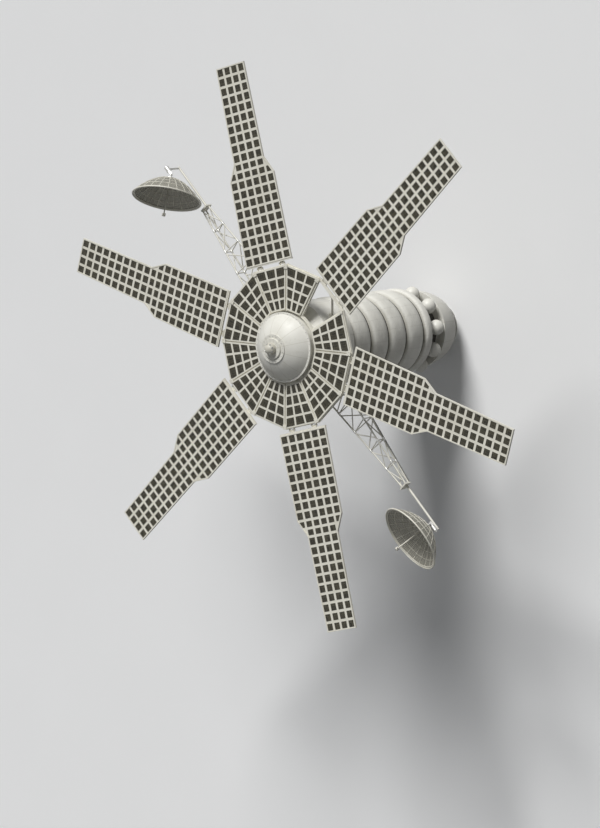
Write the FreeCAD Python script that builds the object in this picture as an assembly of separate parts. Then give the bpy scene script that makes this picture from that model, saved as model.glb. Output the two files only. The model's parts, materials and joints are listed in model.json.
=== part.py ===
"""Communications satellite, standing on its launch adapter.

Millimetres.  The origin is the centre of the adapter ring's lower face, +Z is
up through the body to the nose, and +X lies along the first solar wing.
Azimuths are in degrees about +Z, counted from +X.
"""
import os
import FreeCAD
import Part
from math import sin, cos, tan, radians, sqrt
from FreeCAD import Vector

# ---- Overall sizes ---------------------------------------------------------
PLANE_Z = 3570.0            # height of the plane the wings and collar lie in
WING_SPAN_R = 4100.0        # wing tip, from the body's axis
WING_AZIMUTHS = (0, 60, 120, 180, 240, 300)
BOOM_AZIMUTHS = {"port": 90, "starboard": 270}

# ---- Launch adapter, shroud and engine -------------------------------------
ADAPTER_FLANGE_R = 352.0
ADAPTER_WALL_R = 312.0      # outside of the ring's upright wall
ADAPTER_WALL = 12.0
ADAPTER_FLANGE = 16.0
ADAPTER_HEIGHT = 70.0
ADAPTER_BOLT_R = (ADAPTER_WALL_R + ADAPTER_FLANGE_R) / 2
ADAPTER_BOLT_HOLE_R = 5.5
ADAPTER_BOLTS = 12

SHROUD_TOP_Z = 600.0
SHROUD_FOOT_LAP = 6.0       # the shroud's foot stands out past the ring's wall
SHROUD_WALL = 10.0
SHROUD_SHELF = 14.0         # thickness of its closed top
SHELF_LAP = 12.0            # the shroud stands out past the bottles' pins by this
ENGINE_MOUNT_Z = SHROUD_TOP_Z - 50.0        # underside of the engine's bulkhead
ENGINE_BULKHEAD = 14.0

NOZZLE_EXIT_Z = ADAPTER_HEIGHT
NOZZLE_EXIT_R = 150.0
NOZZLE_THROAT_R = 38.0
NOZZLE_THROAT_Z = ENGINE_MOUNT_Z - 230.0
NOZZLE_WALL = 6.0
CHAMBER_R = 75.0
CHAMBER_TAPER = 70.0        # height of the cone from the throat to the chamber
INJECTOR_RISE = 20.0        # inside of the throat, closed this far above it

# ---- Bottle bay and barrel -------------------------------------------------
BARREL_CORE_R = 590.0
BOTTLES = 10
BOTTLE_R = 112.0
BOTTLE_RING_R = BARREL_CORE_R - 40.0        # their pins end under the barrel's core
BOTTLE_PIN_R = 16.0
BOTTLE_HEADROOM = 55.5      # free pin above and below a bottle
BOTTLE_GAP = 15.0           # between the bottles and the bay's core
SHROUD_TOP_R = BOTTLE_RING_R + BOTTLE_PIN_R + SHELF_LAP
BAY_CORE_R = BOTTLE_RING_R - BOTTLE_R - BOTTLE_GAP
BAY_TOP_Z = SHROUD_TOP_Z + 2 * (BOTTLE_R + BOTTLE_HEADROOM)

BAND_EDGE_R = BARREL_CORE_R + 17.0          # a band's radius beside its groove
BAND_CROWN_R = BAND_EDGE_R + 33.0           # and at the middle of its bulge
BAND_FIRST = 215.0          # height of the short lowest band
BAND_COUNT = 4
BAND_GROOVE = 24.0
MOUNT_RING_R = 628.0
MOUNT_RING_TOP_Z = PLANE_Z - 220.0
MOUNT_RING_Z = MOUNT_RING_TOP_Z - 548.0
BAND_PITCH = (MOUNT_RING_Z - BAY_TOP_Z - BAND_FIRST) / BAND_COUNT
NECK_R = 480.0
NECK_CONE = 80.0
NECK_TOP_Z = PLANE_Z + 50.0

# ---- Nose ------------------------------------------------------------------
DOME_RING_R = NECK_R + 22.0
DOME_RING = 26.0
DOME_R = DOME_RING_R - 30.0
DOME_HEIGHT = 255.0
STEP_RINGS = ((210.0, 14.0), (150.0, 22.0))     # radius, height of each step
NUB_R = 84.0
NUB_HEIGHT = 112.0

# ---- Collar of solar panels around the neck --------------------------------
COLLAR_SIDES = 12
COLLAR_APOTHEM = 1150.0
COLLAR_INNER_R = NECK_R + 32.0
COLLAR_FRAME = 36.0         # depth of the frame under the panels
COLLAR_BAR = 34.0           # width of its bars
COLLAR_PANEL = 20.0
COLLAR_PANEL_GAP = 16.0     # frame showing between neighbouring panels
COLLAR_PANEL_INSET = 10.2   # frame showing at a panel's inner and outer ends
OPEN_BAY_AZIMUTHS = (0,)    # bays that carry no panel
STRUT_R = 16.0
STRUT_FOOT_Z = PLANE_Z - 480.0
STRUT_HEAD_R = COLLAR_APOTHEM - 32.0
STRUT_PAD = 60.0
STRUT_PAD_DEPTH = 25.6      # of the pad under the collar
STRUT_SHOE = 26.0           # how far the shoe stands off the mounting ring

# ---- Wings -----------------------------------------------------------------
WING_THICK = 22.0
WING_RISE = 5.0             # middle of the panel above the plane
HINGE_R = COLLAR_APOTHEM + 28.0             # the fold axis, from the body's axis
HINGE_Z = PLANE_Z - 18.0
BEAM_START_R = HINGE_R + 24.0               # inner side of the root beam
WING_ROOT_R = BEAM_START_R + 20.0           # the beam ends and the panel starts
BEAM_DROP = 8.0             # how far the beam hangs below the panel
WING_ROOT_HALF = 430.0
WING_SHOULDER_R = 2469.0
WING_SHOULDER_HALF = 417.0
WING_NECK_R = 2711.0
WING_NECK_HALF = 282.0
WING_TIP_HALF = 264.0
HINGE_OFFSETS = (-210.0, 210.0)
PIN_R = 7.0
PIN_FIT = 0.4               # running clearance around a pin
KNUCKLE_R = 14.0
KNUCKLE_HALF = 30.0
KNUCKLE_ARM = 8.4           # half depth of the arm from a knuckle to the beam
EAR_ARM = 9.8               # and of the arm from an ear to the collar
EAR = 14.0                  # thickness of a hinge ear
SIDE_GAP = 5.5              # free space beside a knuckle

# ---- Antenna booms, laid out along +Y and turned to their azimuth -----------
BOOM_Z = PLANE_Z - 370.0    # middle of the truss
BOOM_PIVOT_R = max(MOUNT_RING_R, BAND_CROWN_R) + 90.0
BOOM_PIVOT_Z = BOOM_Z - 140.0
BOOM_ROOT_R = BOOM_PIVOT_R + 30.0           # start of the longerons
GIMBAL_R = 3300.0           # where roll and tilt axes cross, along the boom
DISH_R = 502.0
DISH_DEPTH = 300.0
BOOM_TRUSS_END_R = GIMBAL_R - DISH_R - 178.0
BOOM_ROOT_HALF = 230.0
BOOM_END_HALF = 52.0
BOOM_ROOT_UP = 110.0        # nose-side longeron of the pair above the middle
BOOM_ROOT_DOWN = 128.0      # and the tail-side one below it
BOOM_END_UP = 12.0
BOOM_END_DOWN = 60.0
LONGERON_R = 12.0
BRACE_R = 8.0
BOOM_BAYS = 5
BRACE_OFFSET = 43.0         # diagonals meet a longeron this far from the rungs
ROOT_PLATE = 20.0
ROOT_LAP = 6.0              # end plates stand out past the longerons by this
END_PLATE = 11.0            # half thickness of the plate at the truss's end
SILL_RISE = 46.0            # window's lower edge above the pivot
LINTEL = 34.0               # depth of the frame over the window
JAMB = 40.0                 # width of its sides
BRACKET_HALF = BOOM_ROOT_HALF + LONGERON_R + ROOT_LAP + 2.0
BRACKET_DROP = 40.0         # bracket's lower edge below the pivot
BRACKET_GAP = 50.0          # between the bracket's plate and the truss's
BRACKET_SUNK = 290.0        # its block starts this far inside the mounting ring
STOP_HALF = 22.0
STOP_DEPTH = 30.0
BOOM_EAR_OFFSETS = (-(BOOM_ROOT_HALF - 40.0), BOOM_ROOT_HALF - 40.0)
BOOM_KNUCKLE_R = 20.0
BOOM_EAR_R = BOOM_KNUCKLE_R - SIDE_GAP      # so the truss's plate swings clear of it
BOOM_ARM = 12.0             # half depth of the arm from a knuckle to the frame
BOOM_PIN_R = 9.0

# ---- Gimbals and dishes ----------------------------------------------------
# Gimbal over the tip tube.  The port dish leans in over its boom, so it stands higher.
GIMBAL_RISE = {"port": DISH_R - 242.0, "starboard": 70.0}
TIP_TUBE_R = 17.0
POST_PLACE_R = GIMBAL_R + 95.0              # the post's place along the boom
TIP_TUBE_END_R = POST_PLACE_R + 25.0
POST_R = 13.6
HOUSING_R = 34.0
HOUSING_LENGTH = 74.0
ROLL_SHAFT_R = 12.0
SHAFT_COLLAR = 8.0          # the shaft's collar is this much wider than it
SHAFT_COLLAR_LENGTH = 10.0
YOKE_PLATE = 10.0
YOKE_EAR = 10.0
YOKE_REACH = 46.0           # from the tilt axis to the yoke's plate
TILT_KNUCKLE_R = 16.0
TILT_KNUCKLE_HALF = 20.0
TILT_PIN_R = 7.0
DISH_STANDOFF = 76.0        # tilt axis to the dish's apex
DISH_WALL = 5.0
DISH_RIM_R = 11.0
HUB_R = 74.0
HUB_PLATE = 12.0
HUB_NECK_R = 12.8
SEAT_R = 59.2               # flat boss in the middle of the dish
SEAT_RISE = 2.0             # its top over the curve at its edge
FEED_LENGTH = DISH_DEPTH + 275.0
FEED_R = 9.0
FEED_BAR_HALF = 62.0
FEED_BAR_R = 8.0
FEED_CUP_R = 26.0
FEED_CUP = 40.0
FEED_FOOT_R = 19.8
FEED_FOOT = 24.0
# Rest attitude of each dish: roll swings it from the nose direction about the
# boom, tilt leans it outwards along the boom.
DISH_REST = {"port": (-53.5, -47.1), "starboard": (35.0, 8.0)}

SEAT = 0.3                  # gap left where a curved face is seated


# ---- Helpers ---------------------------------------------------------------
def cylinder(radius, start, end):
    """Round bar between two points."""
    axis = end - start
    return Part.makeCylinder(radius, axis.Length, start, axis)


def disc(radius, z, height):
    """Upright cylinder on the body's axis."""
    return Part.makeCylinder(radius, height, Vector(0, 0, z))


def block(x, y, z):
    """Box from three (low, high) pairs."""
    size = [high - low for low, high in (x, y, z)]
    return Part.makeBox(*size, Vector(x[0], y[0], z[0]))


def ring(outer, inner, z, height):
    return disc(outer, z, height).cut(disc(inner, z - 1, height + 2))


def revolved(points):
    """Solid of revolution about +Z from a closed outline of (r, z)."""
    outline = [Vector(r, 0, z) for r, z in points]
    face = Part.Face(Part.makePolygon(outline + outline[:1]))
    return face.revolve(Vector(), Vector(0, 0, 1), 360)


def plate(points, z, height):
    """Flat plate with a closed outline of (x, y)."""
    outline = [Vector(x, y, z) for x, y in points]
    return Part.Face(Part.makePolygon(outline + outline[:1])).extrude(Vector(0, 0, height))


def fuse(shapes):
    """One clean body from pieces that overlap."""
    shapes = list(shapes)
    joined = shapes[0].multiFuse(shapes[1:])
    merged = joined.removeSplitter()
    return merged if merged.isValid() else joined


def turned(shape, azimuth):
    """Copy of a shape laid out at azimuth 0, turned about the body's axis."""
    copy = shape.copy()
    copy.rotate(Vector(), Vector(0, 0, 1), azimuth)
    return copy


def save(name, *solids):
    """Write one node: a single solid, or several that do not touch."""
    shape = solids[0] if len(solids) == 1 else Part.makeCompound(list(solids))
    loose = len(shape.Solids)
    if not shape.isValid() or loose == 0:
        raise ValueError(name + " is not a valid solid")
    shape.exportStep("parts/%s.step" % name)
    print("%-26s %2d solid(s) %12.0f mm3" % (name, loose, shape.Volume))


# ---- Body ------------------------------------------------------------------
def adapter_ring():
    """Bolted ring that the launcher, or a stand, carries the satellite by."""
    inner = ADAPTER_WALL_R - ADAPTER_WALL
    flange = ring(ADAPTER_FLANGE_R, inner, 0, ADAPTER_FLANGE)
    wall = ring(ADAPTER_WALL_R, inner, 0, ADAPTER_HEIGHT)
    body = fuse((flange, wall))
    for number in range(ADAPTER_BOLTS):
        angle = radians((number + 0.5) * 360 / ADAPTER_BOLTS)
        place = Vector(ADAPTER_BOLT_R * cos(angle), ADAPTER_BOLT_R * sin(angle), -1)
        body = body.cut(Part.makeCylinder(ADAPTER_BOLT_HOLE_R, ADAPTER_FLANGE + 2, place))
    return body


def shroud_outline():
    """Outside of the tail shroud as (r, z): a rounded cap, blunt at its foot."""
    foot = ADAPTER_WALL_R + SHROUD_FOOT_LAP
    rise = SHROUD_TOP_Z - ADAPTER_HEIGHT
    shares = ((0.0, 0.0), (0.20, 0.05), (0.38, 0.12), (0.54, 0.21), (0.67, 0.32), (0.78, 0.45),
              (0.87, 0.59), (0.94, 0.74), (0.98, 0.88), (1.0, 1.0))
    return [(foot + (SHROUD_TOP_R - foot) * out, ADAPTER_HEIGHT + rise * up) for out, up in shares]


def tail_shroud():
    """Open-bottomed cone round the engine, with a bulkhead and a closed top."""
    outside = shroud_outline()
    shelf_z = SHROUD_TOP_Z - SHROUD_SHELF
    inside = [(r - SHROUD_WALL, min(z, shelf_z)) for r, z in reversed(outside)]
    shell = revolved(outside + [(0, SHROUD_TOP_Z), (0, shelf_z)] + inside)
    bulkhead = disc(SHROUD_TOP_R, ENGINE_MOUNT_Z, ENGINE_BULKHEAD)
    filled = revolved(outside + [(0, SHROUD_TOP_Z), (0, ADAPTER_HEIGHT)])
    return fuse((shell, bulkhead.common(filled)))


def engine_nozzle():
    """Bell nozzle and its chamber, hung from the bulkhead."""
    flare = NOZZLE_EXIT_R - NOZZLE_THROAT_R
    drop = NOZZLE_THROAT_Z - NOZZLE_EXIT_Z
    bell = [(NOZZLE_EXIT_R - flare * out, NOZZLE_EXIT_Z + drop * up)
            for out, up in ((0.0, 0.0), (0.22, 0.35), (0.55, 0.7), (1.0, 1.0))]
    wall = [(r - NOZZLE_WALL, z) for r, z in reversed(bell)]
    chamber = [(CHAMBER_R, NOZZLE_THROAT_Z + CHAMBER_TAPER), (CHAMBER_R, ENGINE_MOUNT_Z),
               (0, ENGINE_MOUNT_Z), (0, NOZZLE_THROAT_Z + INJECTOR_RISE)]
    return revolved(bell + chamber + wall)


def gas_bottles():
    """Ring of spherical bottles, each on a pin between shelf and barrel."""
    bottles = []
    middle = (SHROUD_TOP_Z + BAY_TOP_Z) / 2
    for number in range(BOTTLES):
        ball = Part.makeSphere(BOTTLE_R, Vector(BOTTLE_RING_R, 0, middle))
        low, high = (Vector(BOTTLE_RING_R, 0, z) for z in (SHROUD_TOP_Z, BAY_TOP_Z))
        bottles.append(turned(fuse((ball, cylinder(BOTTLE_PIN_R, low, high))),
                              number * 360 / BOTTLES))
    return bottles


def band(low, high):
    """One bulged white band around the barrel."""
    middle = (low + high) / 2
    edge = (Vector(BAND_EDGE_R, 0, low), Vector(BAND_CROWN_R, 0, middle),
            Vector(BAND_EDGE_R, 0, high))
    inner_low, inner_high = Vector(BARREL_CORE_R, 0, low), Vector(BARREL_CORE_R, 0, high)
    wire = Part.Wire([Part.LineSegment(inner_low, edge[0]).toShape(),
                      Part.Arc(*edge).toShape(),
                      Part.LineSegment(edge[2], inner_high).toShape(),
                      Part.LineSegment(inner_high, inner_low).toShape()])
    return Part.Face(wire).revolve(Vector(), Vector(0, 0, 1), 360)


def band_edges():
    """(low, high) of each band, from the bottle bay upwards."""
    lows = [BAY_TOP_Z + BAND_FIRST + BAND_PITCH * number for number in range(BAND_COUNT)]
    edges = [(BAY_TOP_Z, lows[0] - BAND_GROOVE)]
    edges += [(low, low + BAND_PITCH - BAND_GROOVE) for low in lows]
    return edges


def neck():
    """Plain upper barrel, its shoulder and the neck that carries the dome."""
    top = MOUNT_RING_TOP_Z
    return revolved([(0, top), (MOUNT_RING_R, top), (NECK_R, top + NECK_CONE),
                     (NECK_R, NECK_TOP_Z), (0, NECK_TOP_Z)])


def dome_base_z():
    return NECK_TOP_Z + DOME_RING


def dome():
    """Shallow spherical cap, cut flat where the step rings sit."""
    radius = (DOME_R ** 2 + DOME_HEIGHT ** 2) / (2 * DOME_HEIGHT)
    base = dome_base_z()
    ball = Part.makeSphere(radius, Vector(0, 0, base + DOME_HEIGHT - radius))
    flat_z = dome_flat_z()
    return ball.common(disc(DOME_R + 5, base, flat_z - base))


def dome_flat_z():
    """Height at which the cap is as wide as the first step ring."""
    radius = (DOME_R ** 2 + DOME_HEIGHT ** 2) / (2 * DOME_HEIGHT)
    drop = radius - sqrt(radius ** 2 - STEP_RINGS[0][0] ** 2)
    return dome_base_z() + DOME_HEIGHT - drop


def step_rings():
    z = dome_flat_z()
    steps = []
    for radius, height in STEP_RINGS:
        steps.append(disc(radius, z, height))
        z += height
    return fuse(steps), z


def nose_nub(z):
    """Rounded sensor head on top of the steps."""
    middle = z + NUB_HEIGHT - NUB_R
    ball = Part.makeSphere(NUB_R, Vector(0, 0, middle)).common(disc(NUB_R + 1, z, NUB_HEIGHT + 1))
    return fuse((disc(NUB_R, z, middle - z), ball))


# ---- Collar ----------------------------------------------------------------
def polygon(apothem):
    """Corners of the collar's outline, with a flat side at azimuth 0."""
    corner = apothem / cos(radians(180 / COLLAR_SIDES))
    angles = [radians((number + 0.5) * 360 / COLLAR_SIDES) for number in range(COLLAR_SIDES)]
    return [(corner * cos(a), corner * sin(a)) for a in angles]


def collar_frame():
    """Twelve-sided frame of bars, with the wings' hinge ears on its rim."""
    low = PLANE_Z - COLLAR_FRAME
    rim = plate(polygon(COLLAR_APOTHEM), low, COLLAR_FRAME)
    rim = rim.cut(plate(polygon(COLLAR_APOTHEM - COLLAR_BAR), low - 1, COLLAR_FRAME + 2))
    parts = [rim, ring(COLLAR_INNER_R + COLLAR_BAR, COLLAR_INNER_R, low, COLLAR_FRAME)]
    reach = COLLAR_APOTHEM / cos(radians(180 / COLLAR_SIDES)) - COLLAR_BAR / 2
    spoke = block((COLLAR_INNER_R + COLLAR_BAR / 2, reach),
                  (-COLLAR_BAR / 2, COLLAR_BAR / 2), (low, PLANE_Z))
    for number in range(COLLAR_SIDES):
        parts.append(turned(spoke, (number + 0.5) * 360 / COLLAR_SIDES))
    for azimuth in WING_AZIMUTHS:
        parts += [turned(piece, azimuth) for piece in wing_clevises()]
    return fuse(parts)


def wing_clevises():
    """Ears and pins of one wing's hinges, for a wing at azimuth 0."""
    pieces = []
    ear_start = KNUCKLE_HALF + SIDE_GAP
    for offset in HINGE_OFFSETS:
        for side in (-1, 1):
            low, high = sorted((offset + side * ear_start, offset + side * (ear_start + EAR)))
            eye = cylinder(KNUCKLE_R, Vector(HINGE_R, low, HINGE_Z), Vector(HINGE_R, high, HINGE_Z))
            arm = block((COLLAR_APOTHEM - COLLAR_BAR / 2, HINGE_R), (low, high),
                        (HINGE_Z - EAR_ARM, HINGE_Z + EAR_ARM))
            pieces += [eye, arm]
        half = ear_start + EAR
        pieces.append(cylinder(PIN_R, Vector(HINGE_R, offset - half, HINGE_Z),
                               Vector(HINGE_R, offset + half, HINGE_Z)))
    return pieces


def collar_panels():
    """One wedge panel on each bay of the frame, apart from the open bays."""
    half = radians(180 / COLLAR_SIDES)
    inner = COLLAR_INNER_R + COLLAR_PANEL_INSET
    outer = COLLAR_APOTHEM - COLLAR_PANEL_INSET
    inset = COLLAR_PANEL_GAP / 2 / cos(half)
    outline = [(inner, -(inner * tan(half) - inset)), (outer, -(outer * tan(half) - inset)),
               (outer, outer * tan(half) - inset), (inner, inner * tan(half) - inset)]
    wedge = plate(outline, PLANE_Z, COLLAR_PANEL)
    step = 360 // COLLAR_SIDES
    return [turned(wedge, azimuth) for azimuth in range(0, 360, step)
            if azimuth not in OPEN_BAY_AZIMUTHS]


def collar_struts():
    """Struts that hold the collar off the barrel, one behind each wing root."""
    foot_r = MOUNT_RING_R + STRUT_R / 2
    head_z = PLANE_Z - COLLAR_FRAME
    foot, head = Vector(foot_r, 0, STRUT_FOOT_Z), Vector(STRUT_HEAD_R, 0, head_z - STRUT_R)
    bar = cylinder(STRUT_R, foot, head)
    shoe = block((MOUNT_RING_R - STRUT_SHOE, MOUNT_RING_R + STRUT_SHOE),
                 (-STRUT_PAD / 2, STRUT_PAD / 2),
                 (STRUT_FOOT_Z - STRUT_PAD, STRUT_FOOT_Z + STRUT_PAD))
    pad = block((STRUT_HEAD_R - STRUT_PAD / 2, STRUT_HEAD_R + STRUT_PAD / 4),
                (-STRUT_PAD / 2, STRUT_PAD / 2), (head_z - STRUT_PAD_DEPTH, head_z))
    ring_top = MOUNT_RING_TOP_Z - STRUT_FOOT_Z + 2 * STRUT_PAD
    seat = disc(MOUNT_RING_R + SEAT, STRUT_FOOT_Z - 2 * STRUT_PAD, ring_top)
    strut = fuse((bar, shoe, pad)).cut(seat)
    below = block((0, WING_ROOT_R), (-STRUT_PAD, STRUT_PAD), (STRUT_FOOT_Z - 2 * STRUT_PAD, head_z))
    strut = strut.common(below)
    return [turned(strut, azimuth) for azimuth in WING_AZIMUTHS]


# ---- Wings -----------------------------------------------------------------
def wing_panel():
    """Flat panel with a broad root, sloping shoulders and a narrow outer part."""
    half_outline = [(WING_ROOT_R, WING_ROOT_HALF), (WING_SHOULDER_R, WING_SHOULDER_HALF),
                    (WING_NECK_R, WING_NECK_HALF), (WING_SPAN_R, WING_TIP_HALF)]
    mirrored = [(r, -half) for r, half in reversed(half_outline)]
    return plate(half_outline + mirrored, wing_low_z(), WING_THICK)


def wing_low_z():
    return PLANE_Z + WING_RISE - WING_THICK / 2


def wing_root_beam():
    """Beam along the wing's root with its two hinge knuckles."""
    low = wing_low_z() - BEAM_DROP
    high = wing_low_z() + WING_THICK
    parts = [block((BEAM_START_R, WING_ROOT_R), (-WING_ROOT_HALF, WING_ROOT_HALF), (low, high))]
    for offset in HINGE_OFFSETS:
        ends = [Vector(HINGE_R, offset + side * KNUCKLE_HALF, HINGE_Z) for side in (-1, 1)]
        parts.append(cylinder(KNUCKLE_R, *ends))
        parts.append(block((HINGE_R, BEAM_START_R + 2),
                           (offset - KNUCKLE_HALF, offset + KNUCKLE_HALF),
                           (HINGE_Z - KNUCKLE_ARM, HINGE_Z + KNUCKLE_ARM)))
    beam = fuse(parts)
    for offset in HINGE_OFFSETS:
        ends = [Vector(HINGE_R, offset + side * (KNUCKLE_HALF + 1), HINGE_Z) for side in (-1, 1)]
        beam = beam.cut(cylinder(PIN_R + PIN_FIT, *ends))
    return beam


# ---- Booms -----------------------------------------------------------------
def longeron_ends():
    """(root, end) of a boom's longerons: a pair on its -X side, one on its +X side."""
    # side, height of the root and of the end over the middle of the truss
    rows = ((-1, BOOM_ROOT_UP, BOOM_END_UP),
            (-1, -BOOM_ROOT_DOWN, -BOOM_END_DOWN),
            (1, (BOOM_ROOT_UP - BOOM_ROOT_DOWN) / 2, (BOOM_END_UP - BOOM_END_DOWN) / 2))
    return [(Vector(side * BOOM_ROOT_HALF, BOOM_ROOT_R, BOOM_Z + at_root),
             Vector(side * BOOM_END_HALF, BOOM_TRUSS_END_R, BOOM_Z + at_end))
            for side, at_root, at_end in rows]


def boom_truss():
    """Tapered three-sided truss, its root frame, knuckles and tip tube."""
    chords = longeron_ends()
    faces = (0, 1), (1, 2), (2, 0)
    offset = BRACE_OFFSET / (BOOM_TRUSS_END_R - BOOM_ROOT_R)

    def corner(longeron, share):
        root, end = chords[longeron]
        return root + (end - root) * share

    parts = [cylinder(LONGERON_R, root, end) for root, end in chords]
    for number in range(1, BOOM_BAYS):
        share = number / BOOM_BAYS
        parts += [cylinder(BRACE_R, corner(first, share), corner(second, share))
                  for first, second in faces]
    for number in range(BOOM_BAYS):
        near, far = number / BOOM_BAYS + offset, (number + 1) / BOOM_BAYS - offset
        if number % 2:
            near, far = far, near
        parts += [cylinder(BRACE_R, corner(first, near), corner(second, far))
                  for first, second in faces]
    parts += boom_root_frame() + boom_tip()
    truss = fuse(parts)
    for offset in BOOM_EAR_OFFSETS:
        truss = truss.cut(boom_pin(offset, BOOM_PIN_R + PIN_FIT, KNUCKLE_HALF + 1))
    return truss


def boom_pin(offset, radius, half):
    ends = [Vector(offset + side * half, BOOM_PIVOT_R, BOOM_PIVOT_Z) for side in (-1, 1)]
    return cylinder(radius, *ends)


def boom_root_frame():
    """Plate that ties the longerons together, on two hinge knuckles."""
    low, high = BOOM_ROOT_R - ROOT_PLATE / 2, BOOM_ROOT_R + ROOT_PLATE / 2
    half = BOOM_ROOT_HALF + LONGERON_R + ROOT_LAP
    top = boom_root_top()
    frame = block((-half, half), (low, high), (BOOM_PIVOT_Z - BOOM_ARM, top))
    window = block((-half + JAMB, half - JAMB), (low - 1, high + 1),
                   (BOOM_PIVOT_Z + SILL_RISE, top - LINTEL))
    parts = [frame.cut(window)]
    for offset in BOOM_EAR_OFFSETS:
        parts.append(boom_pin(offset, BOOM_KNUCKLE_R, KNUCKLE_HALF))
        parts.append(block((offset - KNUCKLE_HALF, offset + KNUCKLE_HALF), (BOOM_PIVOT_R, low + 1),
                           (BOOM_PIVOT_Z - BOOM_ARM, BOOM_PIVOT_Z + BOOM_ARM)))
    return parts


def boom_root_top():
    return BOOM_Z + BOOM_ROOT_UP + LONGERON_R + ROOT_LAP


def boom_tip():
    """Slim tube that carries the gimbal's post past the end of the truss."""
    z = tip_tube_z()
    tube = cylinder(TIP_TUBE_R, Vector(0, BOOM_TRUSS_END_R, z), Vector(0, TIP_TUBE_END_R, z))
    half, lap = BOOM_END_HALF + LONGERON_R + ROOT_LAP, TIP_TUBE_R + ROOT_LAP
    web = block((-half, half), (BOOM_TRUSS_END_R - END_PLATE, BOOM_TRUSS_END_R + END_PLATE),
                (z - lap, BOOM_Z + BOOM_END_UP + LONGERON_R + ROOT_LAP))
    return [tube, web]


def tip_tube_z():
    return BOOM_Z - BOOM_END_DOWN


def gimbal_point(side):
    return Vector(0, GIMBAL_R, tip_tube_z() + GIMBAL_RISE[side])


def boom_bracket():
    """Bracket on the barrel with the boom's hinge ears and its upper stop."""
    face_r = BOOM_ROOT_R - ROOT_PLATE / 2 - BRACKET_GAP
    low = BOOM_PIVOT_Z - BRACKET_DROP
    top = boom_root_top()
    parts = [block((-BRACKET_HALF, BRACKET_HALF), (MOUNT_RING_R - BRACKET_SUNK, face_r),
                   (low, top))]
    ear_start = KNUCKLE_HALF + SIDE_GAP
    for offset in BOOM_EAR_OFFSETS:
        for side in (-1, 1):
            start, end = sorted((offset + side * ear_start, offset + side * (ear_start + EAR)))
            parts.append(block((start, end), (face_r - 5, BOOM_PIVOT_R),
                               (BOOM_PIVOT_Z - BOOM_EAR_R, BOOM_PIVOT_Z + BOOM_EAR_R)))
            parts.append(cylinder(BOOM_EAR_R, Vector(start, BOOM_PIVOT_R, BOOM_PIVOT_Z),
                                  Vector(end, BOOM_PIVOT_R, BOOM_PIVOT_Z)))
        parts.append(boom_pin(offset, BOOM_PIN_R, ear_start + EAR))
        stop_end = BOOM_ROOT_R - ROOT_PLATE / 2 - SEAT
        parts.append(block((offset - STOP_HALF, offset + STOP_HALF), (face_r - 5, stop_end),
                           (top - STOP_DEPTH, top)))
    return fuse(parts).cut(disc(MOUNT_RING_R + SEAT, low - 1, top - low + 2))


# ---- Gimbal and dish, laid out pointing at the nose on a boom along +Y ------
def roll_housing(side):
    """Post and bearing housing on the tip tube, with a bore for the roll shaft."""
    point = gimbal_point(side)
    start = POST_PLACE_R - HOUSING_LENGTH / 2
    housing = cylinder(HOUSING_R, Vector(0, start, point.z),
                       Vector(0, start + HOUSING_LENGTH, point.z))
    post = cylinder(POST_R, Vector(0, POST_PLACE_R, tip_tube_z()), Vector(0, POST_PLACE_R, point.z))
    body = fuse((housing, post.cut(tip_tube())))
    bore = cylinder(ROLL_SHAFT_R + PIN_FIT, Vector(0, start - 1, point.z),
                    Vector(0, start + HOUSING_LENGTH + 1, point.z))
    return body.cut(bore)


def tip_tube():
    z = tip_tube_z()
    return cylinder(TIP_TUBE_R + SEAT, Vector(0, BOOM_TRUSS_END_R, z),
                    Vector(0, TIP_TUBE_END_R + 1, z))


def gimbal_yoke(side):
    """Roll shaft with a fork that holds the tilt pin."""
    point = gimbal_point(side)
    plate_y = point.y + YOKE_REACH
    end_y = POST_PLACE_R + HOUSING_LENGTH / 2 + SIDE_GAP
    parts = [cylinder(HOUSING_R, Vector(0, plate_y, point.z),
                      Vector(0, plate_y + YOKE_PLATE, point.z)),
             cylinder(ROLL_SHAFT_R, Vector(0, plate_y, point.z), Vector(0, end_y, point.z)),
             cylinder(ROLL_SHAFT_R + SHAFT_COLLAR, Vector(0, end_y, point.z),
                      Vector(0, end_y + SHAFT_COLLAR_LENGTH, point.z))]
    inner = TILT_KNUCKLE_HALF + SIDE_GAP
    for hand in (-1, 1):
        low, high = sorted((hand * inner, hand * (inner + YOKE_EAR)))
        parts.append(block((low, high), (point.y, plate_y + 1),
                           (point.z - TILT_KNUCKLE_R, point.z + TILT_KNUCKLE_R)))
        parts.append(cylinder(TILT_KNUCKLE_R, Vector(low, point.y, point.z),
                              Vector(high, point.y, point.z)))
    half = inner + YOKE_EAR
    parts.append(cylinder(TILT_PIN_R, Vector(-half, point.y, point.z),
                          Vector(half, point.y, point.z)))
    return fuse(parts)


def dish_frame_point(side, depth):
    """Point on the dish's axis, measured from the apex."""
    point = gimbal_point(side)
    return Vector(0, point.y, point.z + DISH_STANDOFF + depth)


def dish_hub(side):
    """Back plate and neck of the dish, with the knuckle on the tilt pin."""
    point = gimbal_point(side)
    ends = [Vector(hand * TILT_KNUCKLE_HALF, point.y, point.z) for hand in (-1, 1)]
    low = dish_frame_point(side, -HUB_PLATE)
    parts = [cylinder(TILT_KNUCKLE_R, *ends),
             cylinder(HUB_NECK_R, point, dish_frame_point(side, -HUB_PLATE / 2)),
             cylinder(HUB_R, low, dish_frame_point(side, 0.0))]
    hub = fuse(parts)
    reach = [Vector(hand * (TILT_KNUCKLE_HALF + 1), point.y, point.z) for hand in (-1, 1)]
    hub = hub.cut(cylinder(TILT_PIN_R + PIN_FIT, *reach))
    return hub


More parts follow.
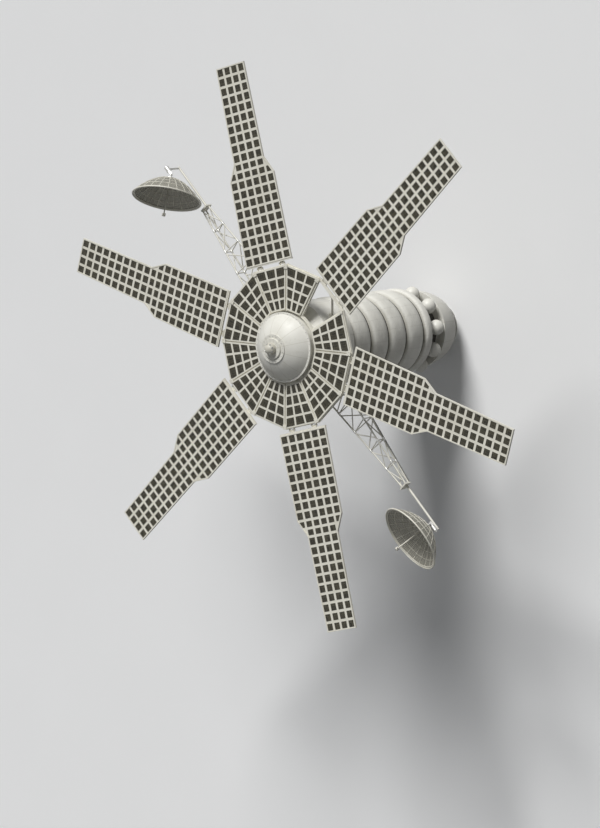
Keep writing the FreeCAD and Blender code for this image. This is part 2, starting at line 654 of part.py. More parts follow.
def dish_curve(shift):
    """Paraboloid section as a spline edge, moved out along its normal by shift."""
    focus = DISH_R ** 2 / (4 * DISH_DEPTH)
    points = []
    for number in range(7):
        radius = DISH_R * number / 6
        slope = radius / (2 * focus)
        length = sqrt(1 + slope ** 2)
        points.append(Vector(radius + shift * slope / length, 0,
                             radius ** 2 / (4 * focus) - shift / length))
    curve = Part.BSplineCurve()
    curve.interpolate(points)
    return curve.toShape()


def seat_top():
    """Height of the boss over the apex of the dish's curve."""
    return DISH_DEPTH * (SEAT_R / DISH_R) ** 2 + SEAT_RISE


def dish_shell(side):
    """Deep paraboloid reflector with a round rim and its back plate's flat."""
    inner, outer = dish_curve(0.0), dish_curve(DISH_WALL)
    ends = [edge.Vertexes[index].Point for edge in (inner, outer) for index in (0, 1)]
    wire = Part.Wire([inner, Part.LineSegment(ends[1], ends[3]).toShape(), outer,
                      Part.LineSegment(ends[2], ends[0]).toShape()])
    shell = Part.Face(wire).revolve(Vector(), Vector(0, 0, 1), 360)
    rim = Part.makeTorus(DISH_R + DISH_WALL / 2, DISH_RIM_R, Vector(0, 0, DISH_DEPTH))
    seat = disc(SEAT_R, -DISH_WALL, DISH_WALL + seat_top())
    body = fuse((shell, rim, seat))
    body.translate(dish_frame_point(side, DISH_WALL))
    return body


def dish_feed(side):
    """Feed mast along the dish's axis with a small cross bar at its end."""
    start = DISH_WALL + seat_top()
    tip = dish_frame_point(side, FEED_LENGTH)
    bar_z = tip.z - FEED_CUP / 2
    parts = [cylinder(FEED_R, dish_frame_point(side, start), tip),
             cylinder(FEED_FOOT_R, dish_frame_point(side, start),
                      dish_frame_point(side, start + FEED_FOOT)),
             cylinder(FEED_CUP_R, dish_frame_point(side, FEED_LENGTH - FEED_CUP), tip),
             cylinder(FEED_BAR_R, Vector(-FEED_BAR_HALF, tip.y, bar_z),
                      Vector(FEED_BAR_HALF, tip.y, bar_z))]
    return fuse(parts)


def aimed(shape, side, with_tilt=True):
    """Swing a gimbal piece to its rest attitude and turn it to its boom."""
    roll, tilt = DISH_REST[side]
    copy = shape.copy()
    point = gimbal_point(side)
    if with_tilt:
        copy.rotate(point, Vector(-1, 0, 0), tilt)
    copy.rotate(point, Vector(0, 1, 0), roll)
    return turned(copy, BOOM_AZIMUTHS[side] - 90)


# ---- The whole satellite ---------------------------------------------------
def main():
    os.makedirs("parts", exist_ok=True)
    save("adapter_ring", adapter_ring())
    save("tail_shroud", tail_shroud())
    save("engine_nozzle", engine_nozzle())
    save("bottle_bay_core", disc(BAY_CORE_R, SHROUD_TOP_Z, BAY_TOP_Z - SHROUD_TOP_Z))
    save("gas_bottles", *gas_bottles())
    save("barrel_core", disc(BARREL_CORE_R, BAY_TOP_Z, MOUNT_RING_Z - BAY_TOP_Z))
    save("radiator_bands", *[band(low, high) for low, high in band_edges()])
    save("boom_mount_ring", disc(MOUNT_RING_R, MOUNT_RING_Z, MOUNT_RING_TOP_Z - MOUNT_RING_Z))
    save("neck", neck())
    save("dome_base_ring", disc(DOME_RING_R, NECK_TOP_Z, DOME_RING))
    save("dome", dome())
    steps, nub_z = step_rings()
    save("dome_step_rings", steps)
    save("nose_sensor", nose_nub(nub_z))
    save("collar_frame", collar_frame())
    save("collar_panels", *collar_panels())
    save("collar_struts", *collar_struts())
    panel, beam = wing_panel(), wing_root_beam()
    for number, azimuth in enumerate(WING_AZIMUTHS, start=1):
        save("wing_%d_panel" % number, turned(panel, azimuth))
        save("wing_%d_root_beam" % number, turned(beam, azimuth))
    bracket, truss = boom_bracket(), boom_truss()
    for side, azimuth in BOOM_AZIMUTHS.items():
        save(side + "_boom_bracket", turned(bracket, azimuth - 90))
        save(side + "_boom_truss", turned(truss, azimuth - 90))
        save(side + "_roll_housing", turned(roll_housing(side), azimuth - 90))
        save(side + "_gimbal_yoke", aimed(gimbal_yoke(side), side, with_tilt=False))
        save(side + "_dish_hub", aimed(dish_hub(side), side))
        save(side + "_dish_shell", aimed(dish_shell(side), side))
        save(side + "_dish_feed", aimed(dish_feed(side), side))


main()
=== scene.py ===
# %% [markdown]
# # A communications satellite, finished in Blender
#
# The satellite is a white, ribbed barrel with a domed nose.  A collar and six
# wings of solar cells stand round the nose like a windmill, and two dish
# antennas sit on trussed booms.  Its construction comes ready made as a fixed
# frame of named parts.  This lesson gives every surface its finish and models
# the pieces whose looks matter most.

# %% Frame and libraries
import json
from math import atan2, cos, pi, radians, sin, sqrt, tan

import bmesh
import bpy
from mathutils import Matrix, Vector


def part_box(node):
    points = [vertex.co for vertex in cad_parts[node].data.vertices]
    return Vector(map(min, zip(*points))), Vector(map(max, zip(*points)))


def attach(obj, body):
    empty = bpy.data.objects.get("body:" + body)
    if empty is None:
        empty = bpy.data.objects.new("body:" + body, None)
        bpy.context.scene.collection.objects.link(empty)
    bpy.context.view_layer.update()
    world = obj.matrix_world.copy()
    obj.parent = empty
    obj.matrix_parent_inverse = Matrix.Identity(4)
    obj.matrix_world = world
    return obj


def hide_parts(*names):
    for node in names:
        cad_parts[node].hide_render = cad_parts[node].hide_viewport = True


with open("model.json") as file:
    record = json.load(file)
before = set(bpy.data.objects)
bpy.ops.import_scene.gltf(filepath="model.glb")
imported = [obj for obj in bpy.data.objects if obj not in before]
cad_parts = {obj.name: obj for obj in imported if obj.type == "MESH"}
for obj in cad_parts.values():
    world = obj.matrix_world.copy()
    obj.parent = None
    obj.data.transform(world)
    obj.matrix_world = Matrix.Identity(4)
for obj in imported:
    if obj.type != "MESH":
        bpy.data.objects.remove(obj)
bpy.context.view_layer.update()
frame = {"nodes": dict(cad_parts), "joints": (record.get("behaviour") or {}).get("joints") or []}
nodes = frame["nodes"]


def rounded(values):
    return [round(value, 3) for value in values]


# %% [markdown]
# ## Places that everything is measured from
#
# Heights, edges and joints are read from the frame, so that only true design
# sizes are written down here.

# %% Heights and joints
CELL_BACK, CELL_FACE = (corner.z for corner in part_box("wing_1_panel"))
PLANE_Z, COLLAR_FACE = (corner.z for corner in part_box("collar_panels"))
pivots = {joint["name"]: joint["pos_m"] for joint in frame["joints"]}
WINGS = {"wing_%d" % number: 60 * (number - 1) for number in range(1, 7)}
SIDES = {"port": 90, "starboard": 270}
print("plane of the wings at", round(PLANE_Z, 3), "m, joints:", len(pivots))


# %% [markdown]
# ## Working in edit mode from a script
#
# Every modelling operator acts on what is selected, just as it does by hand.
# These helpers keep that tidy.  A finished piece has its object at the origin
# and its place in its mesh.

# %% Selection helpers
def deselect():
    bpy.ops.object.select_all(action="DESELECT")


def adopt(name):
    """Name the primitive just added, which alone is selected, and apply its place."""
    piece = bpy.context.object
    piece.name = piece.data.name = name
    bpy.ops.object.transform_apply(location=True, rotation=True, scale=True)
    return piece


def alone(piece):
    """Make a piece the only one selected."""
    deselect()
    piece.select_set(True)
    bpy.context.view_layer.objects.active = piece


def editing(piece):
    """Enter edit mode on one piece, with all of it selected."""
    alone(piece)
    bpy.ops.object.mode_set(mode="EDIT")
    bpy.ops.mesh.select_all(action="SELECT")


def done():
    bpy.ops.object.mode_set(mode="OBJECT")


def pick(piece, kind, rule):
    """In edit mode, select only the faces or corners that a rule accepts."""
    bpy.ops.mesh.select_mode(type=kind)
    mesh = bmesh.from_edit_mesh(piece.data)
    for part in mesh.faces if kind == "FACE" else mesh.verts:
        part.select_set(bool(rule(part)))
    mesh.select_flush_mode()
    bmesh.update_edit_mesh(piece.data)


def extruded(*step):
    bpy.ops.mesh.extrude_region_move(TRANSFORM_OT_translate={"value": step})


def modified(piece, kind, **settings):
    alone(piece)
    modifier = piece.modifiers.new(kind.title(), kind)
    for key, value in settings.items():
        setattr(modifier, key, value)
    bpy.ops.object.modifier_apply(modifier=modifier.name)
    return piece


def smoothed(piece, angle):
    alone(piece)
    bpy.ops.object.shade_smooth_by_angle(angle=radians(angle))
    return piece


# %% [markdown]
# ## Copies that stand alone
#
# Bolts, bottles, ribs and wings repeat.  Each is modelled once and copied with
# a mesh of its own, and a whole set is joined into one piece.

# %% Copies and joined sets
def copied(piece, name, matrix):
    twin = piece.copy()
    twin.data = piece.data.copy()
    twin.name = twin.data.name = name
    bpy.context.scene.collection.objects.link(twin)
    twin.data.transform(matrix)
    return twin


def joined(name, pieces):
    deselect()
    for piece in pieces:
        piece.select_set(True)
    bpy.context.view_layer.objects.active = pieces[0]
    if len(pieces) > 1:
        bpy.ops.object.join()
    piece = bpy.context.object
    piece.name = piece.data.name = name
    return piece


def discard(*pieces):
    for piece in pieces:
        bpy.data.objects.remove(piece)


def repeated(piece, name, matrices):
    """One joined piece of copies, one at each matrix, in place of the original."""
    copies = [copied(piece, name, matrix) for matrix in matrices]
    discard(piece)
    return joined(name, copies)


def turned(degrees, axis="Z"):
    return Matrix.Rotation(radians(degrees), 4, axis)


def turns(count, start=0.0):
    """Even turns about the body's axis."""
    return [turned(start + 360 / count * number) for number in range(count)]


# %% [markdown]
# ## Turning on a lathe
#
# By hand you would start with a circle, extrude it up a little, scale it, and
# go on ring by ring.  The lathe does that along a profile of radii and heights.

# %% Lathe, rods and bars
def lathe(name, profile, segments, angle):
    """A surface turned about +Z from (radius, height) pairs; radius 0 closes it."""
    radius, height = profile[0]
    bpy.ops.mesh.primitive_circle_add(vertices=segments, radius=radius, location=(0, 0, height))
    piece = adopt(name)
    editing(piece)
    bpy.ops.mesh.select_mode(type="EDGE")
    bpy.ops.mesh.select_all(action="SELECT")
    for next_radius, next_height in profile[1:]:
        extruded(0, 0, next_height - height)
        if next_radius == 0:
            bpy.ops.mesh.merge(type="CENTER")
            break
        share = next_radius / radius
        bpy.ops.transform.resize(value=(share, share, 1), center_override=(0, 0, next_height))
        radius, height = next_radius, next_height
    bpy.ops.mesh.select_all(action="SELECT")
    bpy.ops.mesh.normals_make_consistent(inside=False)
    done()
    return smoothed(piece, angle)


def hoop(radius, height, thick, segments, sides=8):
    """A round bar bent into a ring about +Z."""
    bpy.ops.mesh.primitive_torus_add(major_radius=radius, minor_radius=thick,
                                     major_segments=segments, minor_segments=sides,
                                     location=(0, 0, height))
    return smoothed(adopt("hoop"), 60)


def rod(name, start, end, radius, sides, bevel):
    """A round rod between two points, with its ends bevelled."""
    start, end = Vector(start), Vector(end)
    turn = (end - start).to_track_quat("Z", "Y").to_euler()
    bpy.ops.mesh.primitive_cylinder_add(vertices=sides, radius=radius, depth=(end - start).length,
                                        location=(start + end) / 2, rotation=turn)
    piece = modified(adopt(name), "BEVEL", width=bevel, segments=2)
    return smoothed(piece, 30)


def bar(name, low, high, bevel=0.002):
    low, high = Vector(low), Vector(high)
    bpy.ops.mesh.primitive_cube_add(size=1, location=(low + high) / 2)
    bpy.context.object.scale = high - low
    return modified(adopt(name), "BEVEL", width=bevel, segments=2)


def between(start, end, share):
    return start + (end - start) * share


def evenly(start, end, steps):
    """Values in even steps from start to end, both included."""
    return [between(start, end, number / steps) for number in range(steps + 1)]


print("a quarter turn in three steps:", evenly(0, 90, 3))

# %% [markdown]
# ## Camera
#
# A long lens far away keeps the wings nearly parallel.  The camera looks down at
# the nose and is rolled over, so that the upright body lies across the view.

# %% Camera
VIEW_DISTANCE, VIEW_REACH = 53.785, 300    # metres: to the aim, and all that is drawn
VIEW_ASIDE, VIEW_BELOW = 0.194, 0.954      # the aim, right of and below the hub
VIEW_LENS = 164.4                          # millimetres

azimuth, elevation, roll = radians(57.18), radians(50.02), radians(99.07)
back = Vector((sin(azimuth) * cos(elevation), -cos(azimuth) * cos(elevation), sin(elevation)))
level_up = (Vector((0, 0, 1)) - back * back.z).normalized()
level_right = level_up.cross(back)
view_up = level_up * cos(roll) + level_right * sin(roll)
view_right = level_right * cos(roll) - level_up * sin(roll)

camera = bpy.data.objects.new("camera", bpy.data.cameras.new("camera"))
bpy.context.scene.collection.objects.link(camera)
camera.data.lens, camera.data.clip_end = VIEW_LENS, VIEW_REACH
aim = Vector((0, 0, PLANE_Z)) + view_right * VIEW_ASIDE - view_up * VIEW_BELOW
place = aim + back * VIEW_DISTANCE
facing = Matrix((view_right, view_up, back)).transposed()
camera.matrix_world = Matrix.Translation(place) @ facing.to_4x4()
bpy.context.scene.camera = camera
print("camera at", rounded(place))

# %% [markdown]
# ## Light and floor
#
# One large, soft sun stands up and to the left of the view, and a dim even sky
# fills the shadows.  Only what the camera sees, straight or mirrored, meets the
# sky's full white.

# %% Light and floor
SUN_STRENGTH, SUN_SOFTNESS, SKY_STRENGTH = 3.15, 22, 0.15
SUN_ABOVE, SUN_LEFT, SUN_BEHIND = 0.72, 0.36, 0.54      # for one who looks through the camera
FLOOR_SIZE = 160


def only_seen(tree, seen, lit, surface):
    """Show one shader to the camera and to mirrors, and another to all other rays."""
    rays, either, mix = (tree.nodes.new(kind) for kind in (
        "ShaderNodeLightPath", "ShaderNodeMath", "ShaderNodeMixShader"))
    either.operation = "MAXIMUM"
    for leaving, entering in (
            (rays.outputs["Is Camera Ray"], either.inputs[0]),
            (rays.outputs["Is Glossy Ray"], either.inputs[1]), (either.outputs[0], mix.inputs[0]),
            (lit.outputs[0], mix.inputs[1]), (seen.outputs[0], mix.inputs[2]),
            (mix.outputs[0], surface)):
        tree.links.new(leaving, entering)


sun = bpy.data.objects.new("sun", bpy.data.lights.new("sun", "SUN"))
bpy.context.scene.collection.objects.link(sun)
sun.data.energy = SUN_STRENGTH
sun.data.angle = radians(SUN_SOFTNESS)
light_from = view_up * SUN_ABOVE - view_right * SUN_LEFT + back * SUN_BEHIND
sun.matrix_world = light_from.to_track_quat("Z", "Y").to_matrix().to_4x4()

world = bpy.data.worlds.new("sky")
bpy.context.scene.world = world
world.use_nodes = True
sky = world.node_tree
seen_sky, lit_sky = sky.nodes["Background"], sky.nodes.new("ShaderNodeBackground")
seen_sky.inputs["Color"].default_value = (0.86, 0.865, 0.87, 1)
lit_sky.inputs["Color"].default_value = (0.93, 0.96, 1.0, 1)
lit_sky.inputs["Strength"].default_value = SKY_STRENGTH
only_seen(sky, seen_sky, lit_sky, sky.nodes["World Output"].inputs["Surface"])

bpy.context.scene.view_settings.view_transform = "Standard"

bpy.ops.mesh.primitive_plane_add(size=FLOOR_SIZE, location=(0, 0, 0))
floor = adopt("floor")
print("sun from", rounded(light_from.normalized()))


# %% [markdown]
# ## Writing shaders as sums
#
# A node graph is easier to read as arithmetic.  `Wire` stands for a socket's
# value and knows how to add, subtract, multiply and compare itself, making one
# Math node for each.  `Finish` is one material.

# %% Sockets that can be added up
def sign(operation, swapped=False):
    """The method behind one of Python's signs, which adds a Math node."""
    def method(self, other):
        values = (other, self) if swapped else (self, other)
        return self.finish.maths(operation, *values)
    return method


class Wire:
    def __init__(self, finish, socket):
        self.finish, self.socket = finish, socket

    __add__ = __radd__ = sign("ADD")
    __mul__ = __rmul__ = sign("MULTIPLY")
    __sub__, __rsub__ = sign("SUBTRACT"), sign("SUBTRACT", swapped=True)
    __truediv__ = sign("DIVIDE")
    __lt__ = sign("LESS_THAN")

    def apply(self, operation, *others):
        """Any other Math operation, such as FRACT or ARCTAN2."""
        return self.finish.maths(operation, self, *others)

    def off_middle(self):
        """0 half way between two whole numbers, and 0.5 at each of them."""
        return (self.apply("FRACT") - 0.5).apply("ABSOLUTE")


class Finish:
    """A material and the nodes that feed its one Principled shader."""

    def __init__(self, name, colour, roughness, **sockets):
        self.material = bpy.data.materials.new(name)
        self.material.use_nodes = True
        self.tree = self.material.node_tree
        self.shader = self.tree.nodes["Principled BSDF"]
        self.set("Base Color", colour)
        self.set("Roughness", roughness)
        for key, value in sockets.items():
            self.set(key.replace("_", " "), value)

    def _plug(self, socket, value):
        if isinstance(value, Wire):
            self.tree.links.new(value.socket, socket)
        elif isinstance(value, tuple) and len(value) == 3 and socket.type == "RGBA":
            socket.default_value = (*value, 1)
        else:
            socket.default_value = value

    def set(self, socket, value):
        self._plug(self.shader.inputs[socket], value)

    def node(self, kind, settings=None, inputs=None, output=0):
        """Make a node: settings first, then the values or wires of its sockets."""
        made = self.tree.nodes.new(kind)
        for key, value in (settings or {}).items():
            setattr(made, key, value)
        for key, value in (inputs or {}).items():
            self._plug(made.inputs[key], value)
        return Wire(self, made.outputs[output])

    def maths(self, operation, *values):
        return self.node("ShaderNodeMath", {"operation": operation}, dict(enumerate(values)))

    def split(self, vector):
        """The three numbers of a vector."""
        parts = self.node("ShaderNodeSeparateXYZ", None, {0: vector})
        return [Wire(self, socket) for socket in parts.socket.node.outputs]

    def places(self):
        return self.node("ShaderNodeTexCoord", output="Object")

    def plan(self):
        """Metres across and along, from the piece's own UV map."""
        return self.split(self.node("ShaderNodeUVMap", {"uv_map": "plan"}))[:2]

    def round_and_out(self):
        """Share of a turn about the body's axis, and distance from that axis."""
        x, y, _ = self.split(self.places())
        return x.apply("ARCTAN2", y) / (2 * pi), (x * x + y * y).apply("SQRT")

    def grain(self, scale, detail, stretch=(1, 1, 1)):
        """Smooth noise from 0 to 1 on Object coordinates, stretched if asked."""
        vector = self.node("ShaderNodeMapping", None, {"Vector": self.places(), "Scale": stretch})
        return self.node("ShaderNodeTexNoise", None,
                         {"Vector": vector, "Scale": scale, "Detail": detail}, "Fac")

    def ease(self, value, low, high):
        """Smooth step from 0 to 1 as a value goes from low to high."""
        return self.node("ShaderNodeMapRange", {"interpolation_type": "SMOOTHSTEP"},
                         {"Value": value, "From Min": low, "From Max": high})

    def blend(self, factor, first, second):
        """One colour, or another where the factor is 1."""
        return self.node("ShaderNodeMix", {"data_type": "RGBA"},
                         {0: factor, 6: first, 7: second}, 2)

    def edges(self, width):
        """1 along the sharp edges of a piece, where paint wears and metal shines."""
        round_normal = self.node("ShaderNodeBevel", {"samples": 4}, {"Radius": width})
        flat_normal = self.node("ShaderNodeNewGeometry", output="Normal")
        alike = self.node("ShaderNodeVectorMath", {"operation": "DOT_PRODUCT"},
                          {0: round_normal, 1: flat_normal}, "Value")
        return self.ease(1 - alike, 0.01, 0.16)

    def vary(self, colour, roughness, relief, strength, depth):
        """Set what changes over the surface: its colour, roughness and bump."""
        self.set("Base Color", colour)
        self.set("Roughness", roughness)
        self.set("Normal", self.node("ShaderNodeBump", None, {
            "Height": relief, "Strength": strength, "Distance": depth}))
        return self


def dress(piece, finish):
    """Give a piece or a CAD node one material."""
    piece.data.materials.clear()
    piece.data.materials.append(finish.material)


def dress_nodes(finish, *names):
    for name in names:
        dress(nodes[name], finish)


def fit(piece, slot, finish, *instead_of, body="body"):
    """Finish a new piece: its material, the nodes it stands for and its body.  The slot is not
    used.
    """
    dress(piece, finish)
    if instead_of:
        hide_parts(*instead_of)
    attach(piece, body)


# %% [markdown]
# ## White thermal paint
#
# Spacecraft are painted matt white to stay cool.  The paint mottles, yellows,
# gathers grime in streaks and wears thin along edges, so noise at several scales
# shifts its colour and roughness, and a fine one gives the sprayed grain.

# %% White paint
def white_paint(name, clean=(0.78, 0.765, 0.70), aged=(0.58, 0.56, 0.48), gores=0):
    """Aged white paint; with gores, welded seams part the sheet that many times round."""
    finish = Finish(name, clean, 0.5)
    cloud = finish.ease(finish.grain(2.2, 5.0), 0.42, 0.72)
    speck = finish.ease(finish.grain(46.0, 2.0), 0.60, 0.74)
    streak = finish.ease(finish.grain(9.0, 3.0, stretch=(1, 1, 0.12)), 0.55, 0.8)
    soil = (cloud * 0.35 + streak * 0.3 + speck * 0.25).apply("MINIMUM", 1.0)
    wear = finish.edges(0.006) * finish.ease(finish.grain(30.0, 2.0), 0.35, 0.65)
    relief = finish.grain(240.0, 2.0) * 0.2
    if gores:
        around, radius = finish.round_and_out()
        off_seam = (0.5 - (around * gores).off_middle()) * radius * (2 * pi / gores)
        seam = 1 - finish.ease(off_seam, 0.001, 0.005)
        soil = (soil + seam * 0.7).apply("MINIMUM", 1.0)
        relief = relief + seam
    worn = finish.blend(soil, clean, aged)
    return finish.vary(finish.blend(wear * 0.55, worn, (0.36, 0.35, 0.32)),
                       0.42 + soil * 0.25 - wear * 0.12, relief, 0.3, 0.002)


paint = white_paint("white_thermal_paint")
frame_paint = white_paint("cream_frame_paint", (0.80, 0.775, 0.68), (0.56, 0.53, 0.43))
boom_paint = white_paint("boom_tube_paint", (0.76, 0.74, 0.66), (0.50, 0.48, 0.40))
sheet_paint = white_paint("gored_sheet_paint", gores=12)
head_paint = white_paint("sensor_head_paint", (0.60, 0.58, 0.50), (0.42, 0.40, 0.33))
print("paints for body, frames, booms, sheet and head")


# %% [markdown]
# ## Bare alloy, dark coating as painted shade, and scorched steel
#
# Machined fittings are bare, with a grain drawn out one way and brighter edges.
# The vessel between the bands is painted near black, as painted shade in the gaps
# between the bands and in the recess behind the bottles.  The engine's bell has
# run hot, so its colour goes from straw to brown and blue.

# %% Metals
def bare_alloy():
    tone = (0.55, 0.545, 0.52)
    finish = Finish("machined_alloy", tone, 0.42, Metallic=0.85)
    drawn = finish.grain(30.0, 3.0, stretch=(1, 1, 14))
    patch = finish.ease(finish.grain(5.0, 3.0), 0.4, 0.7)
    dull = finish.blend(patch * 0.6, tone, tuple(value * 0.7 for value in tone))
    bright = finish.edges(0.004)
    return finish.vary(finish.blend(bright * 0.6, dull, (0.72, 0.71, 0.68)),
                       0.33 + drawn * 0.22 - bright * 0.1, drawn, 0.12, 0.001)


# Near black: on the vessel it is painted shade for the gaps between bands and the bottle recess; on
# the cables it is their own dark coat.
def near_black_shade_finish():
    finish = Finish("dark_vessel_coat_and_shade", (0.035, 0.033, 0.027), 0.7)
    cloud = finish.grain(6.0, 4.0)
    return finish.vary(finish.blend(cloud, (0.020, 0.019, 0.016), (0.07, 0.066, 0.052)),
                       0.55 + cloud * 0.3, finish.grain(120.0, 2.0), 0.25, 0.002)


# colours up the bell, and the share of its height where each is met
HEAT = ((0.0, (0.10, 0.09, 0.11)), (0.18, (0.16, 0.13, 0.16)), (0.34, (0.30, 0.20, 0.12)),
        (0.6, (0.42, 0.35, 0.24)), (1.0, (0.46, 0.44, 0.40)))


def scorched_steel():
    finish = Finish("scorched_bell_steel", (0.2, 0.16, 0.13), 0.4, Metallic=1.0)
    low, high = (corner.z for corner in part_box("engine_nozzle"))
    height = finish.split(finish.places())[2]
    wander = (finish.grain(8.0, 3.0) - 0.5) * 0.12
    heat = finish.node("ShaderNodeValToRGB", None,
                       {"Fac": (height - low) / (high - low) + wander})
    ramp = heat.socket.node.color_ramp.elements
    while len(ramp) < len(HEAT):
        ramp.new(0.5)
    for stop, (position, colour) in zip(ramp, HEAT):
        stop.position, stop.color = position, (*colour, 1)
    rings = finish.grain(60.0, 2.0, stretch=(1, 1, 8))
    return finish.vary(heat, 0.3 + rings * 0.25, rings, 0.15, 0.001)


alloy, dark_coat_and_shade, bell_steel = bare_alloy(), near_black_shade_finish(), scorched_steel()
print("metals: bare, coated and scorched")


# %% [markdown]
# ## Solar cells
#
# Each dark square is a module of small silicon cells under glass.  Its pattern
# reads a UV map that holds metres across and along the panel.  Thin lines part
# the cells, and each cell differs slightly in tone.

# %% Cell finish
MODULE = 0.1395             # metres from one module to the next
CELLS_ACROSS, CELLS_ALONG, FINGERS = 4, 2, 13


def solar_cells():
    finish = Finish("silicon_cells", (0.03, 0.03, 0.02), 0.3, Coat_Weight=0.16, Coat_Roughness=0.14,
                    Specular_IOR_Level=0.25)
    across, along = finish.plan()
    across, along = across / (MODULE / CELLS_ACROSS), along / (MODULE / CELLS_ALONG)
    gaps = ((across.apply("FRACT") < 0.05) + (along.apply("FRACT") < 0.03)).apply("MINIMUM", 1.0)
    fingers = ((across * FINGERS).apply("FRACT") < 0.2) * 0.12
    spot = finish.node("ShaderNodeCombineXYZ", None,
                       {"X": across.apply("FLOOR"), "Y": along.apply("FLOOR")})
    tone = finish.node("ShaderNodeTexWhiteNoise", {"noise_dimensions": "2D"}, {"Vector": spot})
    silicon = finish.blend(tone, (0.018, 0.016, 0.009), (0.052, 0.046, 0.027))
    silicon = finish.blend(fingers, silicon, (0.15, 0.14, 0.10))
    dust = finish.ease(finish.grain(7.0, 4.0), 0.45, 0.75)
    return finish.vary(finish.blend(gaps * 0.7, silicon, (0.19, 0.175, 0.125)),
                       0.25 + gaps * 0.3 + dust * 0.15, gaps, 0.3, 0.0005)


cells = solar_cells()
print("cells:", cells.material.name)

# %% [markdown]
# ## Shaping a flat grid
#
# Wings narrow and wedges fan out, but both start as a flat grid along +X.  Each
# column of corners is scaled to its own width, as you would with S, Y.

# %% Flat grids
def flat_grid(name, start, end, along, across, height):
    """A grid of faces along +X, one metre wide."""
    bpy.ops.mesh.primitive_grid_add(x_subdivisions=along, y_subdivisions=across, size=1,
                                    location=((start + end) / 2, 0, height))
    bpy.context.object.scale.x = end - start
    return adopt(name)


def set_column(piece, place, half, new_place=None):
    """Give the corners at one place along the grid a new half width and place."""
    new_place = place if new_place is None else new_place
    pick(piece, "VERT", lambda corner: abs(corner.co.x - place) < 1e-4)
    bpy.ops.transform.translate(value=(new_place - place, 0, 0))
    bpy.ops.transform.resize(value=(1, 2 * half, 1), center_override=(new_place, 0, 0))


def tapered_grid(name, start, end, along, across, height, half_at):
    """A flat grid whose half width at each column comes from a function."""
    grid = flat_grid(name, start, end, along, across, height)
    editing(grid)
    for place in evenly(start, end, along):
        set_column(grid, place, half_at(place))
    done()
    return grid


# Places along a wing, and half its width at each.
WING_ROOT, WING_SHOULDER, WING_NECK, WING_TIP = 1.222, 2.469, 2.711, 4.100
WIDTHS = {WING_ROOT: 0.430, WING_SHOULDER: 0.417, WING_NECK: 0.282, WING_TIP: 0.264}
print("a wing is", round(WING_TIP - WING_ROOT, 3), "m long")


# %% [markdown]
# ## Wings of cells
#
# Three grids make a wing: the broad part, the shoulders and the narrow part.
# The shoulders are bisected along their slopes.  Inset opens the pale rails
# between the modules, and Solidify and Bevel raise each square as a tile.

# %% Modules of a wing
RAIL = 0.040                # pale rail between two modules
TILE = 0.004                # how proud a module stands
SMALLEST = 0.006            # square metres; smaller scraps carry no module


def wing_field(start, end, along, across):
    """One grid of a wing; the shoulders' grid starts out straight and is cut later."""
    half_start = WIDTHS[start]
    half_end = half_start if start == WING_SHOULDER else WIDTHS[end]
    return tapered_grid("field", start, end, along, across, CELL_FACE, lambda place: between(
        half_start, half_end, (place - start) / (end - start)))


def cut_shoulders(field):
    """Bisect both sloping shoulders away, and drop the scraps that are left."""
    run, fall = WING_NECK - WING_SHOULDER, WIDTHS[WING_SHOULDER] - WIDTHS[WING_NECK]
    for side in (-1, 1):
        editing(field)
        bpy.ops.mesh.bisect(plane_co=(WING_SHOULDER, side * WIDTHS[WING_SHOULDER], CELL_FACE),
                            plane_no=(fall, side * run, 0), clear_outer=True)
        done()
    editing(field)
    pick(field, "FACE", lambda face: face.calc_area() < SMALLEST)
    bpy.ops.mesh.delete(type="FACE")
    done()


def tiles_from(field, rail):
    editing(field)
    pick(field, "FACE", lambda face: True)
    bpy.ops.mesh.inset(thickness=rail / 2, use_individual=True)
    bpy.ops.mesh.select_all(action="INVERT")
    bpy.ops.mesh.delete(type="FACE")
    done()
    modified(field, "SOLIDIFY", thickness=TILE, offset=1)
    return modified(field, "BEVEL", width=0.0011, segments=1)


def plan_map(piece, origin):
    """The one UV map of a piece: metres across and along from an origin."""
    for layer in list(piece.data.uv_layers):
        piece.data.uv_layers.remove(layer)
    plan = piece.data.uv_layers.new(name="plan")
    for loop in piece.data.loops:
        point = piece.data.vertices[loop.vertex_index].co
        plan.data[loop.index].uv = (point.y - origin[1], point.x - origin[0])
    return piece


fields = [wing_field(WING_ROOT, WING_SHOULDER, 9, 6), wing_field(WING_SHOULDER, WING_NECK, 2, 6),
          wing_field(WING_NECK, WING_TIP, 10, 4)]
cut_shoulders(fields[1])
wing_tiles = plan_map(tiles_from(joined("wing_cells", fields), RAIL), (WING_ROOT, -3 * MODULE))
print("a wing's modules:", len(wing_tiles.data.polygons), "faces")


# %% [markdown]
# ## Edge strips and ribs of a wing
#
# The pale edge of a panel is a folded strip.  A grid of three faces takes the
# wing's outline, is dissolved into one face and inset, and loses its middle.
# The back carries light stiffeners.

# %% Edge strips and ribs
EDGE = 0.020                # width of the edge strip
RIB_SUNK, RIB_PROUD = 0.0005, 0.006
LONG_RIB_OFFSET, LONG_RIB_HALF = 0.20, 0.012
CROSS_RIBS, CROSS_RIB_HALF = 19, 0.006


def edge_strip():
    strip = flat_grid("edge_strip", WING_ROOT, WING_TIP, 3, 1, CELL_FACE)
    editing(strip)
    for column, (place, half) in zip(evenly(WING_ROOT, WING_TIP, 3), WIDTHS.items()):
        set_column(strip, column, half, place)
    pick(strip, "FACE", lambda face: True)
    bpy.ops.mesh.dissolve_faces()
    bpy.ops.mesh.inset(thickness=EDGE)
    bpy.ops.mesh.delete(type="FACE")
    done()
    modified(strip, "SOLIDIFY", thickness=0.006, offset=1)
    return modified(strip, "BEVEL", width=0.0015, segments=2)


